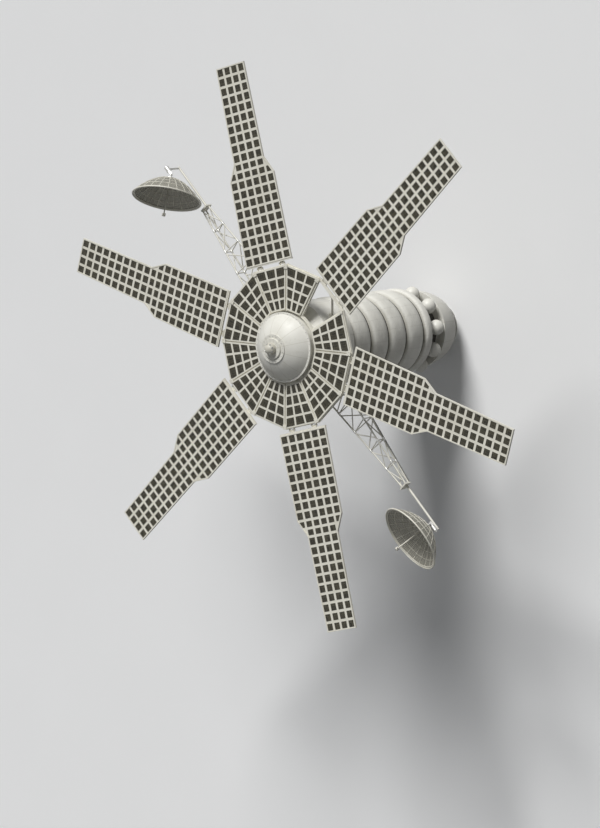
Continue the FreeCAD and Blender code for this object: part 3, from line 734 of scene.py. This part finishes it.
def back_ribs():
    top, low = CELL_BACK + RIB_SUNK, CELL_BACK - RIB_PROUD
    ribs = [bar("rib", (WING_ROOT + 0.01, side * LONG_RIB_OFFSET - LONG_RIB_HALF, low),
                (WING_TIP - 0.04, side * LONG_RIB_OFFSET + LONG_RIB_HALF, top)) for side in (-1, 1)]
    for number in range(1, CROSS_RIBS + 1):
        place = WING_ROOT + number * MODULE
        half = 0.40 if place < WING_SHOULDER else 0.24
        ribs.append(bar("rib", (place - CROSS_RIB_HALF, -half, low + 0.002),
                        (place + CROSS_RIB_HALF, half, top), 0.001))
    return ribs


wing_trim = joined("wing_edge", [edge_strip()] + back_ribs())
for wing, azimuth in WINGS.items():
    fit(copied(wing_tiles, wing + "_cells", turned(azimuth)), "solar_cells", cells, body=wing)
    fit(copied(wing_trim, wing + "_edge_and_ribs", turned(azimuth)), "white_frame", frame_paint,
        body=wing)
    dress_nodes(frame_paint, wing + "_panel", wing + "_root_beam")
discard(wing_tiles, wing_trim)
print("wings dressed:", len(WINGS))

# %% [markdown]
# ## The collar's wedges
#
# The collar is twelve wedges, with one bay left open.  A wedge is a small grid
# with the same rails and tiles as the wings, copied round the neck.

# %% Collar cells
BAYS = 12                   # the first of them stays open
WEDGE_INNER, WEDGE_OUTER, WEDGE_ROWS, WEDGE_COLUMNS = 0.530, 1.132, 4, 3
WEDGE_MARGIN, WEDGE_RAIL = 0.014, 0.034

wedge = tapered_grid("wedge", WEDGE_INNER, WEDGE_OUTER, WEDGE_ROWS, WEDGE_COLUMNS, COLLAR_FACE,
                     lambda place: place * tan(pi / BAYS) - WEDGE_MARGIN)
wedge = plan_map(tiles_from(wedge, WEDGE_RAIL), (WEDGE_INNER, 0))
fit(repeated(wedge, "collar_cells", turns(BAYS)[1:]), "solar_cells", cells)
dress_nodes(frame_paint, "collar_panels", "collar_frame")
dress_nodes(boom_paint, "collar_struts")
print("collar wedges:", BAYS - 1)


# %% [markdown]
# ## Nuts, bolts and rivets
#
# Fasteners give the eye a scale.  A nut is a short bevelled hexagon, and a rivet
# is a flattened ball cut in half.  A whole ring of them is one joined mesh.

# %% Fasteners
def nut(radius, height):
    bpy.ops.mesh.primitive_cylinder_add(vertices=6, radius=radius, depth=height,
                                        location=(0, 0, height / 2))
    return modified(adopt("nut"), "BEVEL", width=height * 0.2, segments=1)


def rivet(radius):
    bpy.ops.mesh.primitive_uv_sphere_add(segments=8, ring_count=6, radius=radius)
    bpy.context.object.scale.z = 0.5
    head = adopt("rivet")
    editing(head)
    bpy.ops.mesh.bisect(plane_co=(0, 0, 0), plane_no=(0, 0, -1), clear_outer=True, use_fill=True)
    done()
    return smoothed(head, 60)


def stand(spot, outward):
    """Matrix that puts a fastener, made at the origin along +Z, on a spot."""
    facing = Vector(outward).to_track_quat("Z", "Y").to_matrix().to_4x4()
    return Matrix.Translation(Vector(spot)) @ facing


def ring_spots(radius, height, count, outward=None, start=0.0):
    """Matrices round the body's axis; they point up, or outward with a slope."""
    spots = []
    for number in range(count):
        angle = radians(start + 360 / count * number)
        flat = Vector((cos(angle), sin(angle), 0))
        facing = Vector((0, 0, 1)) if outward is None else flat + Vector((0, 0, outward))
        spots.append(stand(flat * radius + Vector((0, 0, height)), facing))
    return spots


HINGE_RADIUS, _, HINGE_HEIGHT = pivots["wing_1_fold"]
HINGE_OFFSETS, CLEVIS_HALF = (-0.210, 0.210), 0.0495
hinge_spots = [turned(azimuth) @ stand((HINGE_RADIUS, offset + side * CLEVIS_HALF, HINGE_HEIGHT),
                                       (0, side, 0))
               for azimuth in WINGS.values() for offset in HINGE_OFFSETS for side in (-1, 1)]
fit(repeated(nut(0.011, 0.007), "wing_hinge_nuts", hinge_spots), "bare_alloy", alloy)
print("hinge nuts:", len(hinge_spots))

# %% [markdown]
# ## Corner caps of the collar
#
# A small cap ties each corner to the frame: a bevelled plate on a narrow block,
# with two nuts, turned twelve times.

# %% Corner caps
CAP_INNER, CAP_OUTER, CAP_HALF, CAP_THICK = 1.118, 1.186, 0.034, 0.006
CAP_UNDER = COLLAR_FACE + 0.0048
cap = [bar("cap", (CAP_INNER, -CAP_HALF, CAP_UNDER), (CAP_OUTER, CAP_HALF, CAP_UNDER + CAP_THICK),
           0.0022),
       bar("block", (CAP_INNER + 0.01, -0.0075, COLLAR_FACE - 0.020),
           (CAP_OUTER - 0.002, 0.0075, CAP_UNDER + 0.001), 0.0008)]
cap.append(repeated(nut(0.006, 0.005), "nuts", [
    Matrix.Translation(((CAP_INNER + CAP_OUTER) / 2, offset, CAP_UNDER + CAP_THICK))
    for offset in (-0.018, 0.018)]))
caps = repeated(joined("cap", cap), "collar_corner_caps", turns(BAYS, 180 / BAYS))
fit(caps, "white_frame", frame_paint)
print("corner caps:", BAYS)


# %% [markdown]
# ## Ribbed blanket on the barrel
#
# The barrel is wrapped in swelling bands with dark gaps between.  Their cloth
# has gores sewn down it, soft quilting and small creases, and is painted darker
# near each gap as painted shade.

# %% Band finish
GORES = 24
CORE_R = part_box("barrel_core")[1].x
GROOVE_SHADE_R, GROOVE_SHADE_FADE = CORE_R + 0.006, 0.030       # painted shade in the grooves reaches this far out from the core


def blanket():
    clean, worn = (0.80, 0.785, 0.72), (0.40, 0.385, 0.33)
    finish = Finish("white_blanket", clean, 0.62)
    around, radius = finish.round_and_out()
    seam = finish.ease((around * GORES).off_middle(), 0.485, 0.5)
    cloud = finish.ease(finish.grain(3.0, 5.0), 0.4, 0.75)
    crease = finish.grain(14.0, 4.0, stretch=(1, 1, 2.2))
    radius = radius + (crease - 0.5) * 0.012
    # Painted shade: the colour darkens as the cloth nears the core at its tucked edges, standing in
    # for shade in the grooves; soil mixes it with real mottling and seams.
    painted_groove_shade = 1 - finish.ease(radius, GROOVE_SHADE_R, GROOVE_SHADE_R + GROOVE_SHADE_FADE)
    soil = (cloud * 0.35 + seam * 0.5 + painted_groove_shade * 0.8).apply("MINIMUM", 1.0)
    relief = crease - seam * 0.6 + finish.grain(160.0, 2.0) * 0.08
    return finish.vary(finish.blend(soil, clean, worn), 0.5 + crease * 0.2, relief, 0.4, 0.014)


cloth = blanket()
print("blanket gores:", GORES)

# %% [markdown]
# ## Bands and their fasteners
#
# Each band is turned on the lathe as a shallow arch with tucked edges.  A ring of
# small studs near each edge holds the cloth down.

# %% Bands
BAND_CROWN, BAND_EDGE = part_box("radiator_bands")[1].x, CORE_R + 0.010
BAND_COUNT, BAND_FIRST, BAND_GAP, BAND_TUCK = 4, 0.215, 0.024, 0.008
BAND_LIP = 0.007            # the tucked edge is this much narrower
BAND_STEPS = 18
BAND_SHAPE = 3.2            # how square the swell is; 2 is a plain arc
STUD_INSET = 0.022          # from a tucked edge to its studs

low_z, high_z = (corner.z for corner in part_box("radiator_bands"))
starts = [low_z] + evenly(low_z + BAND_FIRST, high_z + BAND_GAP, BAND_COUNT)
band_spans = [(low, high - BAND_GAP) for low, high in zip(starts, starts[1:])]
swelling = BAND_CROWN - BAND_EDGE


def band_profile(low, high):
    """Core, tucked lower edge, arch, tucked upper edge, core."""
    curve = []
    for angle in evenly(0, pi, BAND_STEPS):
        share = (1 - cos(angle)) / 2
        swell = 1 - abs(2 * share - 1) ** BAND_SHAPE
        height = between(low + BAND_TUCK, high - BAND_TUCK, share)
        curve.append((BAND_EDGE + swelling * swell, height))
    tuck = BAND_EDGE - BAND_LIP
    return [(CORE_R, low), (tuck, low)] + curve + [(tuck, high), (CORE_R, high)]


bands = joined("barrel_blanket", [lathe("band", band_profile(low, high), 128, 50)
                                  for low, high in band_spans])
fit(bands, "white_coat", cloth, "radiator_bands")

stud_spots = []
for low, high in band_spans:
    length = high - low - 2 * BAND_TUCK
    off = 1 - 2 * STUD_INSET / length
    reach = BAND_EDGE + swelling * (1 - off ** BAND_SHAPE)
    rise = 2 * BAND_SHAPE * swelling / length * off ** (BAND_SHAPE - 1)
    for height, slope in ((low + BAND_TUCK + STUD_INSET, -rise),
                          (high - BAND_TUCK - STUD_INSET, rise)):
        stud_spots += ring_spots(reach, height, GORES * 2, slope, 360 / GORES / 4)
fit(repeated(rivet(0.005), "blanket_studs", stud_spots), "bare_alloy", alloy)
# painted shade: the core, seen only in the band gaps and behind the bottles, is near black to stand
# in for shade there
dress_nodes(dark_coat_and_shade, "barrel_core", "bottle_bay_core")
print("bands:", len(band_spans), "studs:", len(stud_spots))


# %% [markdown]
# ## Nose
#
# The nose is a shallow dome on a bolted ring, with two raised steps round a
# rounded sensor head.  One profile carries the dome over its steps.

# %% Dome, steps and sensor head
ring_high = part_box("dome_base_ring")[1]
dome_low, dome_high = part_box("dome")
step_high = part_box("dome_step_rings")[1]
head_low, head_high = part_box("nose_sensor")
DOME_R, DOME_RISE, STEP_1, STEP_2 = dome_high.x, 0.255, 0.210, 0.150
STEP_1_TOP = dome_high.z + 0.014
HEAD_R, HEAD_MIDDLE = head_high.x, head_high.z - head_high.x
RING_NUTS_R, STEP_NUTS_R = 0.487, 0.182


def dome_profile():
    """The cap as an arc of its sphere, then two steps."""
    radius = (DOME_R ** 2 + DOME_RISE ** 2) / (2 * DOME_RISE)
    centre = dome_low.z + DOME_RISE - radius
    start, end = atan2(DOME_R, dome_low.z - centre), atan2(STEP_1, dome_high.z - centre)
    points = [(radius * sin(angle), centre + radius * cos(angle))
              for angle in evenly(start, end, 18)]
    top = step_high.z
    return points + [
        (STEP_1, STEP_1_TOP - 0.004), (STEP_1 - 0.004, STEP_1_TOP), (STEP_2 + 0.002, STEP_1_TOP),
        (STEP_2, STEP_1_TOP + 0.002), (STEP_2, top - 0.005), (STEP_2 - 0.005, top), (0.080, top),
        (0, top)]


def head_profile():
    groove = HEAD_R - 0.003
    drum = [(HEAD_R, head_low.z), (HEAD_R, HEAD_MIDDLE - 0.010), (groove, HEAD_MIDDLE - 0.008),
            (groove, HEAD_MIDDLE - 0.004), (HEAD_R, HEAD_MIDDLE - 0.002)]
    top = [(HEAD_R * cos(angle), HEAD_MIDDLE + HEAD_R * sin(angle))
           for angle in evenly(0, pi / 2, 12)[1:-1]]
    return drum + top + [(0, head_high.z)]


fit(lathe("nose_dome", dome_profile(), 128, 30), "white_coat", sheet_paint,
    "dome", "dome_step_rings")
fit(lathe("sensor_head", head_profile(), 64, 40), "sensor_head", head_paint, "nose_sensor")
dress_nodes(sheet_paint, "dome_base_ring", "neck", "boom_mount_ring")

nose_spots = ring_spots(RING_NUTS_R, ring_high.z, 36, start=5)
nose_spots += ring_spots(STEP_NUTS_R, STEP_1_TOP, 18, start=5)
fit(repeated(nut(0.007, 0.006), "nose_nuts", nose_spots), "bare_alloy", alloy)
print("nose nuts:", len(nose_spots))

# %% [markdown]
# ## Eyes of the sensor head
#
# The head looks for the Sun and the Earth through eight small windows.  Each has
# a bezel, which is a short drum with its end inset and pushed in, and a dark lens.

# %% Sensor windows
WINDOWS, WINDOW_R, WINDOW_DEPTH, WINDOW_SLOPE = 8, 0.013, 0.008, radians(32)


def window():
    """Bezel round a sunken disc, facing +Z at the origin."""
    bpy.ops.mesh.primitive_cylinder_add(vertices=24, radius=WINDOW_R, depth=WINDOW_DEPTH,
                                        location=(0, 0, 0))
    bezel = adopt("window")
    editing(bezel)
    pick(bezel, "FACE", lambda face: face.normal.z > 0.9)
    bpy.ops.mesh.inset(thickness=WINDOW_R * 0.28)
    extruded(0, 0, -WINDOW_DEPTH * 0.35)
    done()
    return modified(bezel, "BEVEL", width=0.0006, segments=2)


def lens():
    """Shallow glass dome, sunk in a window."""
    bpy.ops.mesh.primitive_uv_sphere_add(segments=24, ring_count=12, radius=WINDOW_R * 0.72)
    bpy.context.object.scale.z = 0.3
    bpy.context.object.location.z = WINDOW_DEPTH * 0.12
    return smoothed(adopt("lens"), 60)


glass = Finish("dark_glass", (0.012, 0.014, 0.02), 0.08, Coat_Weight=0.5, Coat_Roughness=0.05)
haze = glass.grain(40.0, 3.0)
glass.set("Base Color", glass.blend(haze, (0.008, 0.010, 0.016), (0.03, 0.03, 0.045)))
glass.set("Roughness", 0.05 + haze * 0.12)

window_spots = ring_spots(HEAD_R * cos(WINDOW_SLOPE), HEAD_MIDDLE + HEAD_R * sin(WINDOW_SLOPE),
                          WINDOWS, tan(WINDOW_SLOPE), 22.5)
fit(repeated(window(), "sensor_bezels", window_spots), "bare_alloy", alloy)
fit(repeated(lens(), "sensor_lenses", window_spots), "sensor_head", glass)
print("windows:", WINDOWS)

# %% [markdown]
# ## Gas bottles
#
# Ten bottles of gas ring the waist.  Each is a sphere with a boss at each end
# and a welded belt, pushed out with shrink/fatten.  A pipe runs round inside.

# %% Gas bottles
bottle_low, bottle_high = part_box("gas_bottles")
BOTTLES, BOTTLE_R, BOTTLE_RING, BELT = 10, 0.112, CORE_R - 0.040, 0.010
PIN_R, BOSS_R = 0.016, 0.026
PIPE_RING, PIPE_R = BOTTLE_RING - 0.060, 0.007
bottle_z = (bottle_low.z + bottle_high.z) / 2
pipe_z = bottle_z + BOTTLE_R + 0.020


def gas_bottle():
    bpy.ops.mesh.primitive_uv_sphere_add(segments=36, ring_count=23, radius=BOTTLE_R,
                                         location=(BOTTLE_RING, 0, bottle_z))
    ball = adopt("bottle")
    editing(ball)
    pick(ball, "FACE", lambda face: abs(face.calc_center_median().z - bottle_z) < BELT)
    bpy.ops.mesh.extrude_region_shrink_fatten(TRANSFORM_OT_shrink_fatten={"value": 0.0025})
    done()
    top, foot = bottle_z + BOTTLE_R, bottle_z - BOTTLE_R
    rods = [rod("boss", (BOTTLE_RING, 0, low), (BOTTLE_RING, 0, high), radius, 20, 0.002)
            for low, high, radius in ((bottle_low.z, bottle_high.z, PIN_R),
                                      (top - 0.004, top + 0.016, BOSS_R),
                                      (foot - 0.016, foot + 0.004, BOSS_R))]
    return joined("bottle", [smoothed(ball, 30)] + rods)


bottles = repeated(gas_bottle(), "gas_bottle_ring", turns(BOTTLES))
fit(bottles, "white_coat", paint, "gas_bottles")

pipe_ring = hoop(PIPE_RING, pipe_z, PIPE_R, 96, 10)
stub = rod("stub", (PIPE_RING, 0, pipe_z), (BOTTLE_RING - 0.014, 0, pipe_z), PIPE_R * 0.8, 10,
           0.0005)
pipes = joined("bottle_pipework", [pipe_ring, repeated(stub, "stubs", turns(BOTTLES))])
fit(pipes, "bare_alloy", alloy)
print("bottles:", BOTTLES)

# %% [markdown]
# ## Tail shroud
#
# The shroud is a pressed shell with a rounded shoulder.  The lathe turns its
# wall and shelf from a short outline, whose corners are cut twice so that it
# bends smoothly.

# %% Tail
shroud_low, shroud_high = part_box("tail_shroud")
FOOT_R = 0.318
# share of the way out to the top's radius, and up to the top
SHROUD_SHARES = ((0.0, 0.0), (0.20, 0.05), (0.38, 0.12), (0.54, 0.21), (0.67, 0.32),
                 (0.78, 0.45), (0.87, 0.59), (0.94, 0.74), (0.98, 0.88), (1.0, 1.0))
SHROUD = [(between(FOOT_R, shroud_high.x, out), between(shroud_low.z, shroud_high.z, up))
          for out, up in SHROUD_SHARES]
SHELL_WALL, LIP = 0.010, 0.003
core_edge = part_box("bottle_bay_core")[1].x - 0.002
shelf_z = shroud_high.z - 0.014


def on_edge(start, end, share):
    """The (radius, height) a share of the way along an edge of an outline."""
    return tuple(between(first, last, share) for first, last in zip(start, end))


def cut_corners(points):
    """Replace each inner corner by two, a quarter of the way along its edges."""
    cut = [on_edge(start, end, share) for start, end in zip(points, points[1:])
           for share in (0.25, 0.75)]
    return [points[0]] + cut + [points[-1]]


outline = cut_corners(cut_corners(SHROUD))
under = [(radius - SHELL_WALL, height) for radius, height in outline if height < shelf_z]
shell = [(core_edge, shelf_z), (under[-1][0], shelf_z)] + under[::-1] + outline[:-1]
shell += [(shroud_high.x, shroud_high.z - LIP), (shroud_high.x - LIP, shroud_high.z),
          (core_edge, shroud_high.z)]
fit(lathe("tail_shell", shell, 128, 30), "white_coat", sheet_paint, "tail_shroud")
print("points in the shroud's outline:", len(outline))

# %% [markdown]
# ## Rivets, hoops and the adapter
#
# Rows of rivets along its seams give the shroud its size.  The engine's bell is
# thin metal, so it gets stiffening hoops.

# %% Rivets, hoops and the adapter
SEAMS, RIVET_STEP, RIVET_BELTS = 12, 0.028, (0, 4, 8)
BRACKET_REACH = 0.50        # the booms' brackets cover the mounting ring beyond this
BELL_HOOPS = ((0.1490, 0.076), (0.1254, 0.1575), (0.0884, 0.245))        # radius, height

shroud_spots = []
for number, (start, end) in enumerate(zip(SHROUD, SHROUD[1:])):
    out, up = end[0] - start[0], end[1] - start[1]
    count = max(1, round(sqrt(out ** 2 + up ** 2) / RIVET_STEP))
    for step in range(count):
        spot = on_edge(start, end, (step + 0.5) / count)
        shroud_spots += ring_spots(*spot, SEAMS, -out / up, 15)
    if number in RIVET_BELTS:
        shroud_spots += ring_spots(*on_edge(start, end, 0.5), 72, -out / up, 2.5)
fit(repeated(rivet(0.0038), "shroud_rivets", shroud_spots), "white_coat", paint)

belt_low, belt_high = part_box("boom_mount_ring")
belt_spots = []
for height in (belt_low.z + 0.020, belt_low.z + 0.050, belt_low.z + 0.188, belt_high.z - 0.018):
    belt_spots += [spot for spot in ring_spots(belt_high.x, height, 80, 0.0, 2.25)
                   if abs(spot.translation.y) < BRACKET_REACH or height < belt_low.z + 0.2]
fit(repeated(rivet(0.0042), "mount_ring_rivets", belt_spots), "white_coat", paint)

hoops = [hoop(radius - 0.002, height, 0.005, 64) for radius, height in BELL_HOOPS]
fit(joined("bell_hoops", hoops), "nozzle_metal", bell_steel)
dress_nodes(alloy, "adapter_ring")
dress_nodes(bell_steel, "engine_nozzle")
print("rivets:", len(shroud_spots) + len(belt_spots))


# %% [markdown]
# ## Dish antennas
#
# A dish is a paraboloid of mesh held by ribs and hoops inside a thick rim.  It
# is modelled once with its axis up and its apex at the origin, and then set on
# its gimbal.

# %% Where each dish points
DISH_R, DISH_DEPTH, DISH_WALL = 0.502, 0.300, 0.005
STANDOFF = 0.076 + DISH_WALL                                      # tilt pin to apex
DISH_REST = {"port": (-53.5, -47.1), "starboard": (35.0, 8.0)}    # roll, tilt


def dish_place(side):
    """Matrix from a dish's own frame, axis up and apex at the origin, to its rest place."""
    roll, tilt = DISH_REST[side]
    return (Matrix.Translation(Vector(pivots[side + "_dish_tilt"])) @ turned(SIDES[side] - 90)
            @ turned(roll, "Y") @ turned(-tilt, "X") @ Matrix.Translation((0, 0, STANDOFF)))


def curve_height(radius):
    return DISH_DEPTH * (radius / DISH_R) ** 2


print("focal length", round(DISH_R ** 2 / (4 * DISH_DEPTH), 3), "m")


# %% [markdown]
# ## Woven wire
#
# The reflector's woven wire is too fine to model.  Two crossing sets of strands
# are drawn on a map of its plan, pale over dark.

# %% Mesh finish
STRAND = 0.016              # metres between strands


def reflector_mesh():
    finish = Finish("reflector_mesh", (0.2, 0.19, 0.15), 0.55, Metallic=0.3)
    strands = [finish.ease((value / STRAND).off_middle(), 0.28, 0.40) for value in finish.plan()]
    wires = strands[0].apply("MAXIMUM", strands[1])
    cloud = finish.grain(5.0, 3.0)
    pale = finish.blend(cloud, (0.55, 0.53, 0.46), (0.40, 0.385, 0.32))
    return finish.vary(finish.blend(wires, (0.045, 0.042, 0.032), pale), 0.45 + cloud * 0.2,
                       wires, 0.5, 0.002)


mesh_finish = reflector_mesh()
print("mesh:", mesh_finish.material.name)

# %% [markdown]
# ## Skin, ribs, hoops and rim
#
# Ribs and hoops, before and behind the wire, give the dish its net of lines.  A
# rib is a strip whose end edge is extruded up the curve.

# %% Dish pieces
RIBS, RIB_WIDTH, RIB_DEPTH, RIB_START, RIB_STEPS = 24, 0.008, 0.006, 0.06, 12
HOOPS, HOOP_R = (0.20, 0.36, 0.52, 0.68, 0.84), 0.0038      # shares of the dish's radius
RIM_R, INNER_RIM = 0.011, 0.017            # the rim, and how far inside it the second one is
SEAT_R = 0.0592
SEAT_TOP = curve_height(SEAT_R) + 0.002


def dish_skin():
    profile = [(radius, curve_height(radius)) for radius in evenly(DISH_R, 0, 20)]
    skin = lathe("skin", profile, 96, 60)
    editing(skin)
    bpy.ops.mesh.normals_make_consistent(inside=True)
    done()
    return plan_map(modified(skin, "SOLIDIFY", thickness=DISH_WALL, offset=-1), (0, 0))


def dish_seat():
    """Flat boss in the middle, with the nuts that hold the feed's foot."""
    boss = rod("seat", (0, 0, -DISH_WALL), (0, 0, SEAT_TOP), SEAT_R, 48, 0.002)
    nuts = repeated(nut(0.005, 0.004), "nuts", ring_spots(0.042, SEAT_TOP, 8))
    return joined("dish_seat", [boss, nuts])


def dish_rib(lift):
    """A strip up the paraboloid, inside it or behind it."""
    places = evenly(RIB_START, DISH_R, RIB_STEPS)
    rib = flat_grid("rib", places[0], places[1], 1, 1, curve_height(places[0]) + lift)
    editing(rib)
    for place in places[:2]:
        set_column(rib, place, RIB_WIDTH / 2)
    bpy.ops.transform.translate(value=(0, 0, curve_height(places[1]) - curve_height(places[0])))
    for before, after in zip(places[1:], places[2:]):
        extruded(after - before, 0, curve_height(after) - curve_height(before))
    done()
    return modified(rib, "SOLIDIFY", thickness=RIB_DEPTH, offset=0)


def dish_bars():
    pieces = [repeated(dish_rib(lift), "ribs", turns(RIBS)) for lift in (0.003, -0.009)]
    pieces += [hoop(DISH_R * share, curve_height(DISH_R * share) + lift, HOOP_R, 72)
               for share in HOOPS for lift in (0.002, -0.010)]
    pieces.append(hoop(DISH_R + DISH_WALL / 2, DISH_DEPTH, RIM_R, 72))
    pieces.append(hoop(DISH_R - INNER_RIM, DISH_DEPTH - 0.010, RIM_R * 0.9, 72))
    return joined("dish_bars", pieces)


skin, bars, seat = dish_skin(), dish_bars(), dish_seat()
for side in SIDES:
    dish, spot = side + "_dish", dish_place(side)
    fit(copied(seat, dish + "_seat", spot), "bare_alloy", alloy, body=dish)
    fit(copied(skin, dish + "_mesh", spot), "dish_mesh", mesh_finish, dish + "_shell", body=dish)
    fit(copied(bars, dish + "_ribs_and_rim", spot), "white_frame", frame_paint, body=dish)
discard(skin, bars, seat)
print("dishes:", ", ".join(SIDES))

# %% [markdown]
# ## Booms, brackets and gimbals
#
# The tubes, lugs and pins are true already.  Sleeves where the rungs meet the
# longerons make a truss read as a built thing.

# %% Sleeves along the longerons
_, BOOM_HINGE_R, BOOM_HINGE_Z = pivots["port_boom_fold"]
ROOT_R, TRUSS_END_R, ROOT_HALF, END_HALF = BOOM_HINGE_R + 0.030, 2.620, 0.230, 0.052
BOOM_Z, BAYS_ALONG = BOOM_HINGE_Z + 0.140, 5
SLEEVE_R, SLEEVE_HALF = 0.0155, 0.026
# side, height of the root and of the end over the middle of the truss
LONGERONS = ((-1, 0.110, 0.012), (-1, -0.128, -0.060), (1, -0.009, -0.024))


def longeron_point(longeron, share):
    side, at_root, at_end = LONGERONS[longeron]
    return Vector((side * between(ROOT_HALF, END_HALF, share), between(ROOT_R, TRUSS_END_R, share),
                   BOOM_Z + between(at_root, at_end, share)))


sleeves = []
for longeron in range(len(LONGERONS)):
    along = longeron_point(longeron, 1) - longeron_point(longeron, 0)
    reach = along.normalized() * SLEEVE_HALF
    for share in evenly(0, 1, BAYS_ALONG)[1:-1]:
        middle = longeron_point(longeron, share)
        sleeves.append(rod("sleeve", middle - reach, middle + reach, SLEEVE_R, 20, 0.002))
sleeves = joined("sleeves", sleeves)
print("sleeves on a boom:", len(LONGERONS) * (BAYS_ALONG - 1))

# %% [markdown]
# ## Cable of a boom
#
# The dish's cable runs beside the lower longeron, from plate to plate.  It is a
# straight rod held by clips, because it must not hang loose when a boom folds.

# %% Cable and its clips
# start and end as shares of the longeron, and radius: the cable and its two plugs
CABLE_RODS = ((0.004, 0.996, 0.0045), (0.004, 0.026, 0.0085), (0.974, 0.996, 0.0058))
CLIPS, FIRST_CLIP, CLIP_STEP = 12, 0.06, 0.08
CLIP_HALF = Vector((0.0080, 0.0050, 0.0085))


def cable_point(share):
    """A place on the cable, which runs below and beside the lower longeron."""
    return longeron_point(1, share) + Vector((-0.009, 0, -0.0155))


cable = [rod("cable", cable_point(start), cable_point(end), radius, 12, 0.0006)
         for start, end, radius in CABLE_RODS]
for number in range(CLIPS):
    middle = cable_point(FIRST_CLIP + CLIP_STEP * number) + Vector((0.002, 0, 0.003))
    cable.append(bar("clip", middle - CLIP_HALF, middle + CLIP_HALF, 0.001))
cable = joined("cable", cable)
print("cable clips:", CLIPS)

# %% [markdown]
# ## Hinge nuts of the booms
#
# A nut closes each end of a hinge's lugs.  The lugs belong to the bracket, so
# the nuts stay with the body when a boom folds.

# %% Hinge nuts, and the booms' finishes
BOOM_HINGE_OFFSET = 0.190
boom_hinge_spots = [stand((side * (BOOM_HINGE_OFFSET + end), BOOM_HINGE_R, BOOM_HINGE_Z),
                          (side * end, 0, 0))
                    for side in (-1, 1) for end in (-CLEVIS_HALF, CLEVIS_HALF)]
boom_hinge_nuts = repeated(nut(0.013, 0.008), "hinge_nuts", boom_hinge_spots)
for side, azimuth in SIDES.items():
    boom, spin = side + "_boom", turned(azimuth - 90)
    fit(copied(sleeves, boom + "_sleeves", spin), "bare_alloy", alloy, body=boom)
    fit(copied(cable, boom + "_cable", spin), "boom_tube", dark_coat_and_shade, body=boom)
    fit(copied(boom_hinge_nuts, boom + "_hinge_nuts", spin), "bare_alloy", alloy)
    dress_nodes(boom_paint, boom + "_truss")
    dress_nodes(paint, boom + "_bracket")
    dress_nodes(frame_paint, side + "_dish_feed")
    dress_nodes(alloy, side + "_roll_housing", side + "_gimbal_yoke", side + "_dish_hub")
discard(sleeves, cable, boom_hinge_nuts)
print("booms dressed:", len(SIDES))

# %% [markdown]
# ## Floor finish
#
# A pale floor this large would throw so much light back that the shaded sides
# went flat, so bounced rays meet a darker one.

# %% Floor finish
floor_finish = Finish("pale_floor", (0.92, 0.92, 0.915), 0.8)
floor_finish.set("Base Color", floor_finish.blend(
    floor_finish.grain(0.6, 2.0), (0.90, 0.90, 0.895), (0.93, 0.93, 0.925)))
tree = floor_finish.tree
dim = tree.nodes.new("ShaderNodeBsdfDiffuse")
dim.inputs["Color"].default_value = (0.22, 0.22, 0.22, 1)
only_seen(tree, floor_finish.shader, dim, tree.nodes["Material Output"].inputs["Surface"])
dress(floor, floor_finish)
print("floor:", floor_finish.material.name)
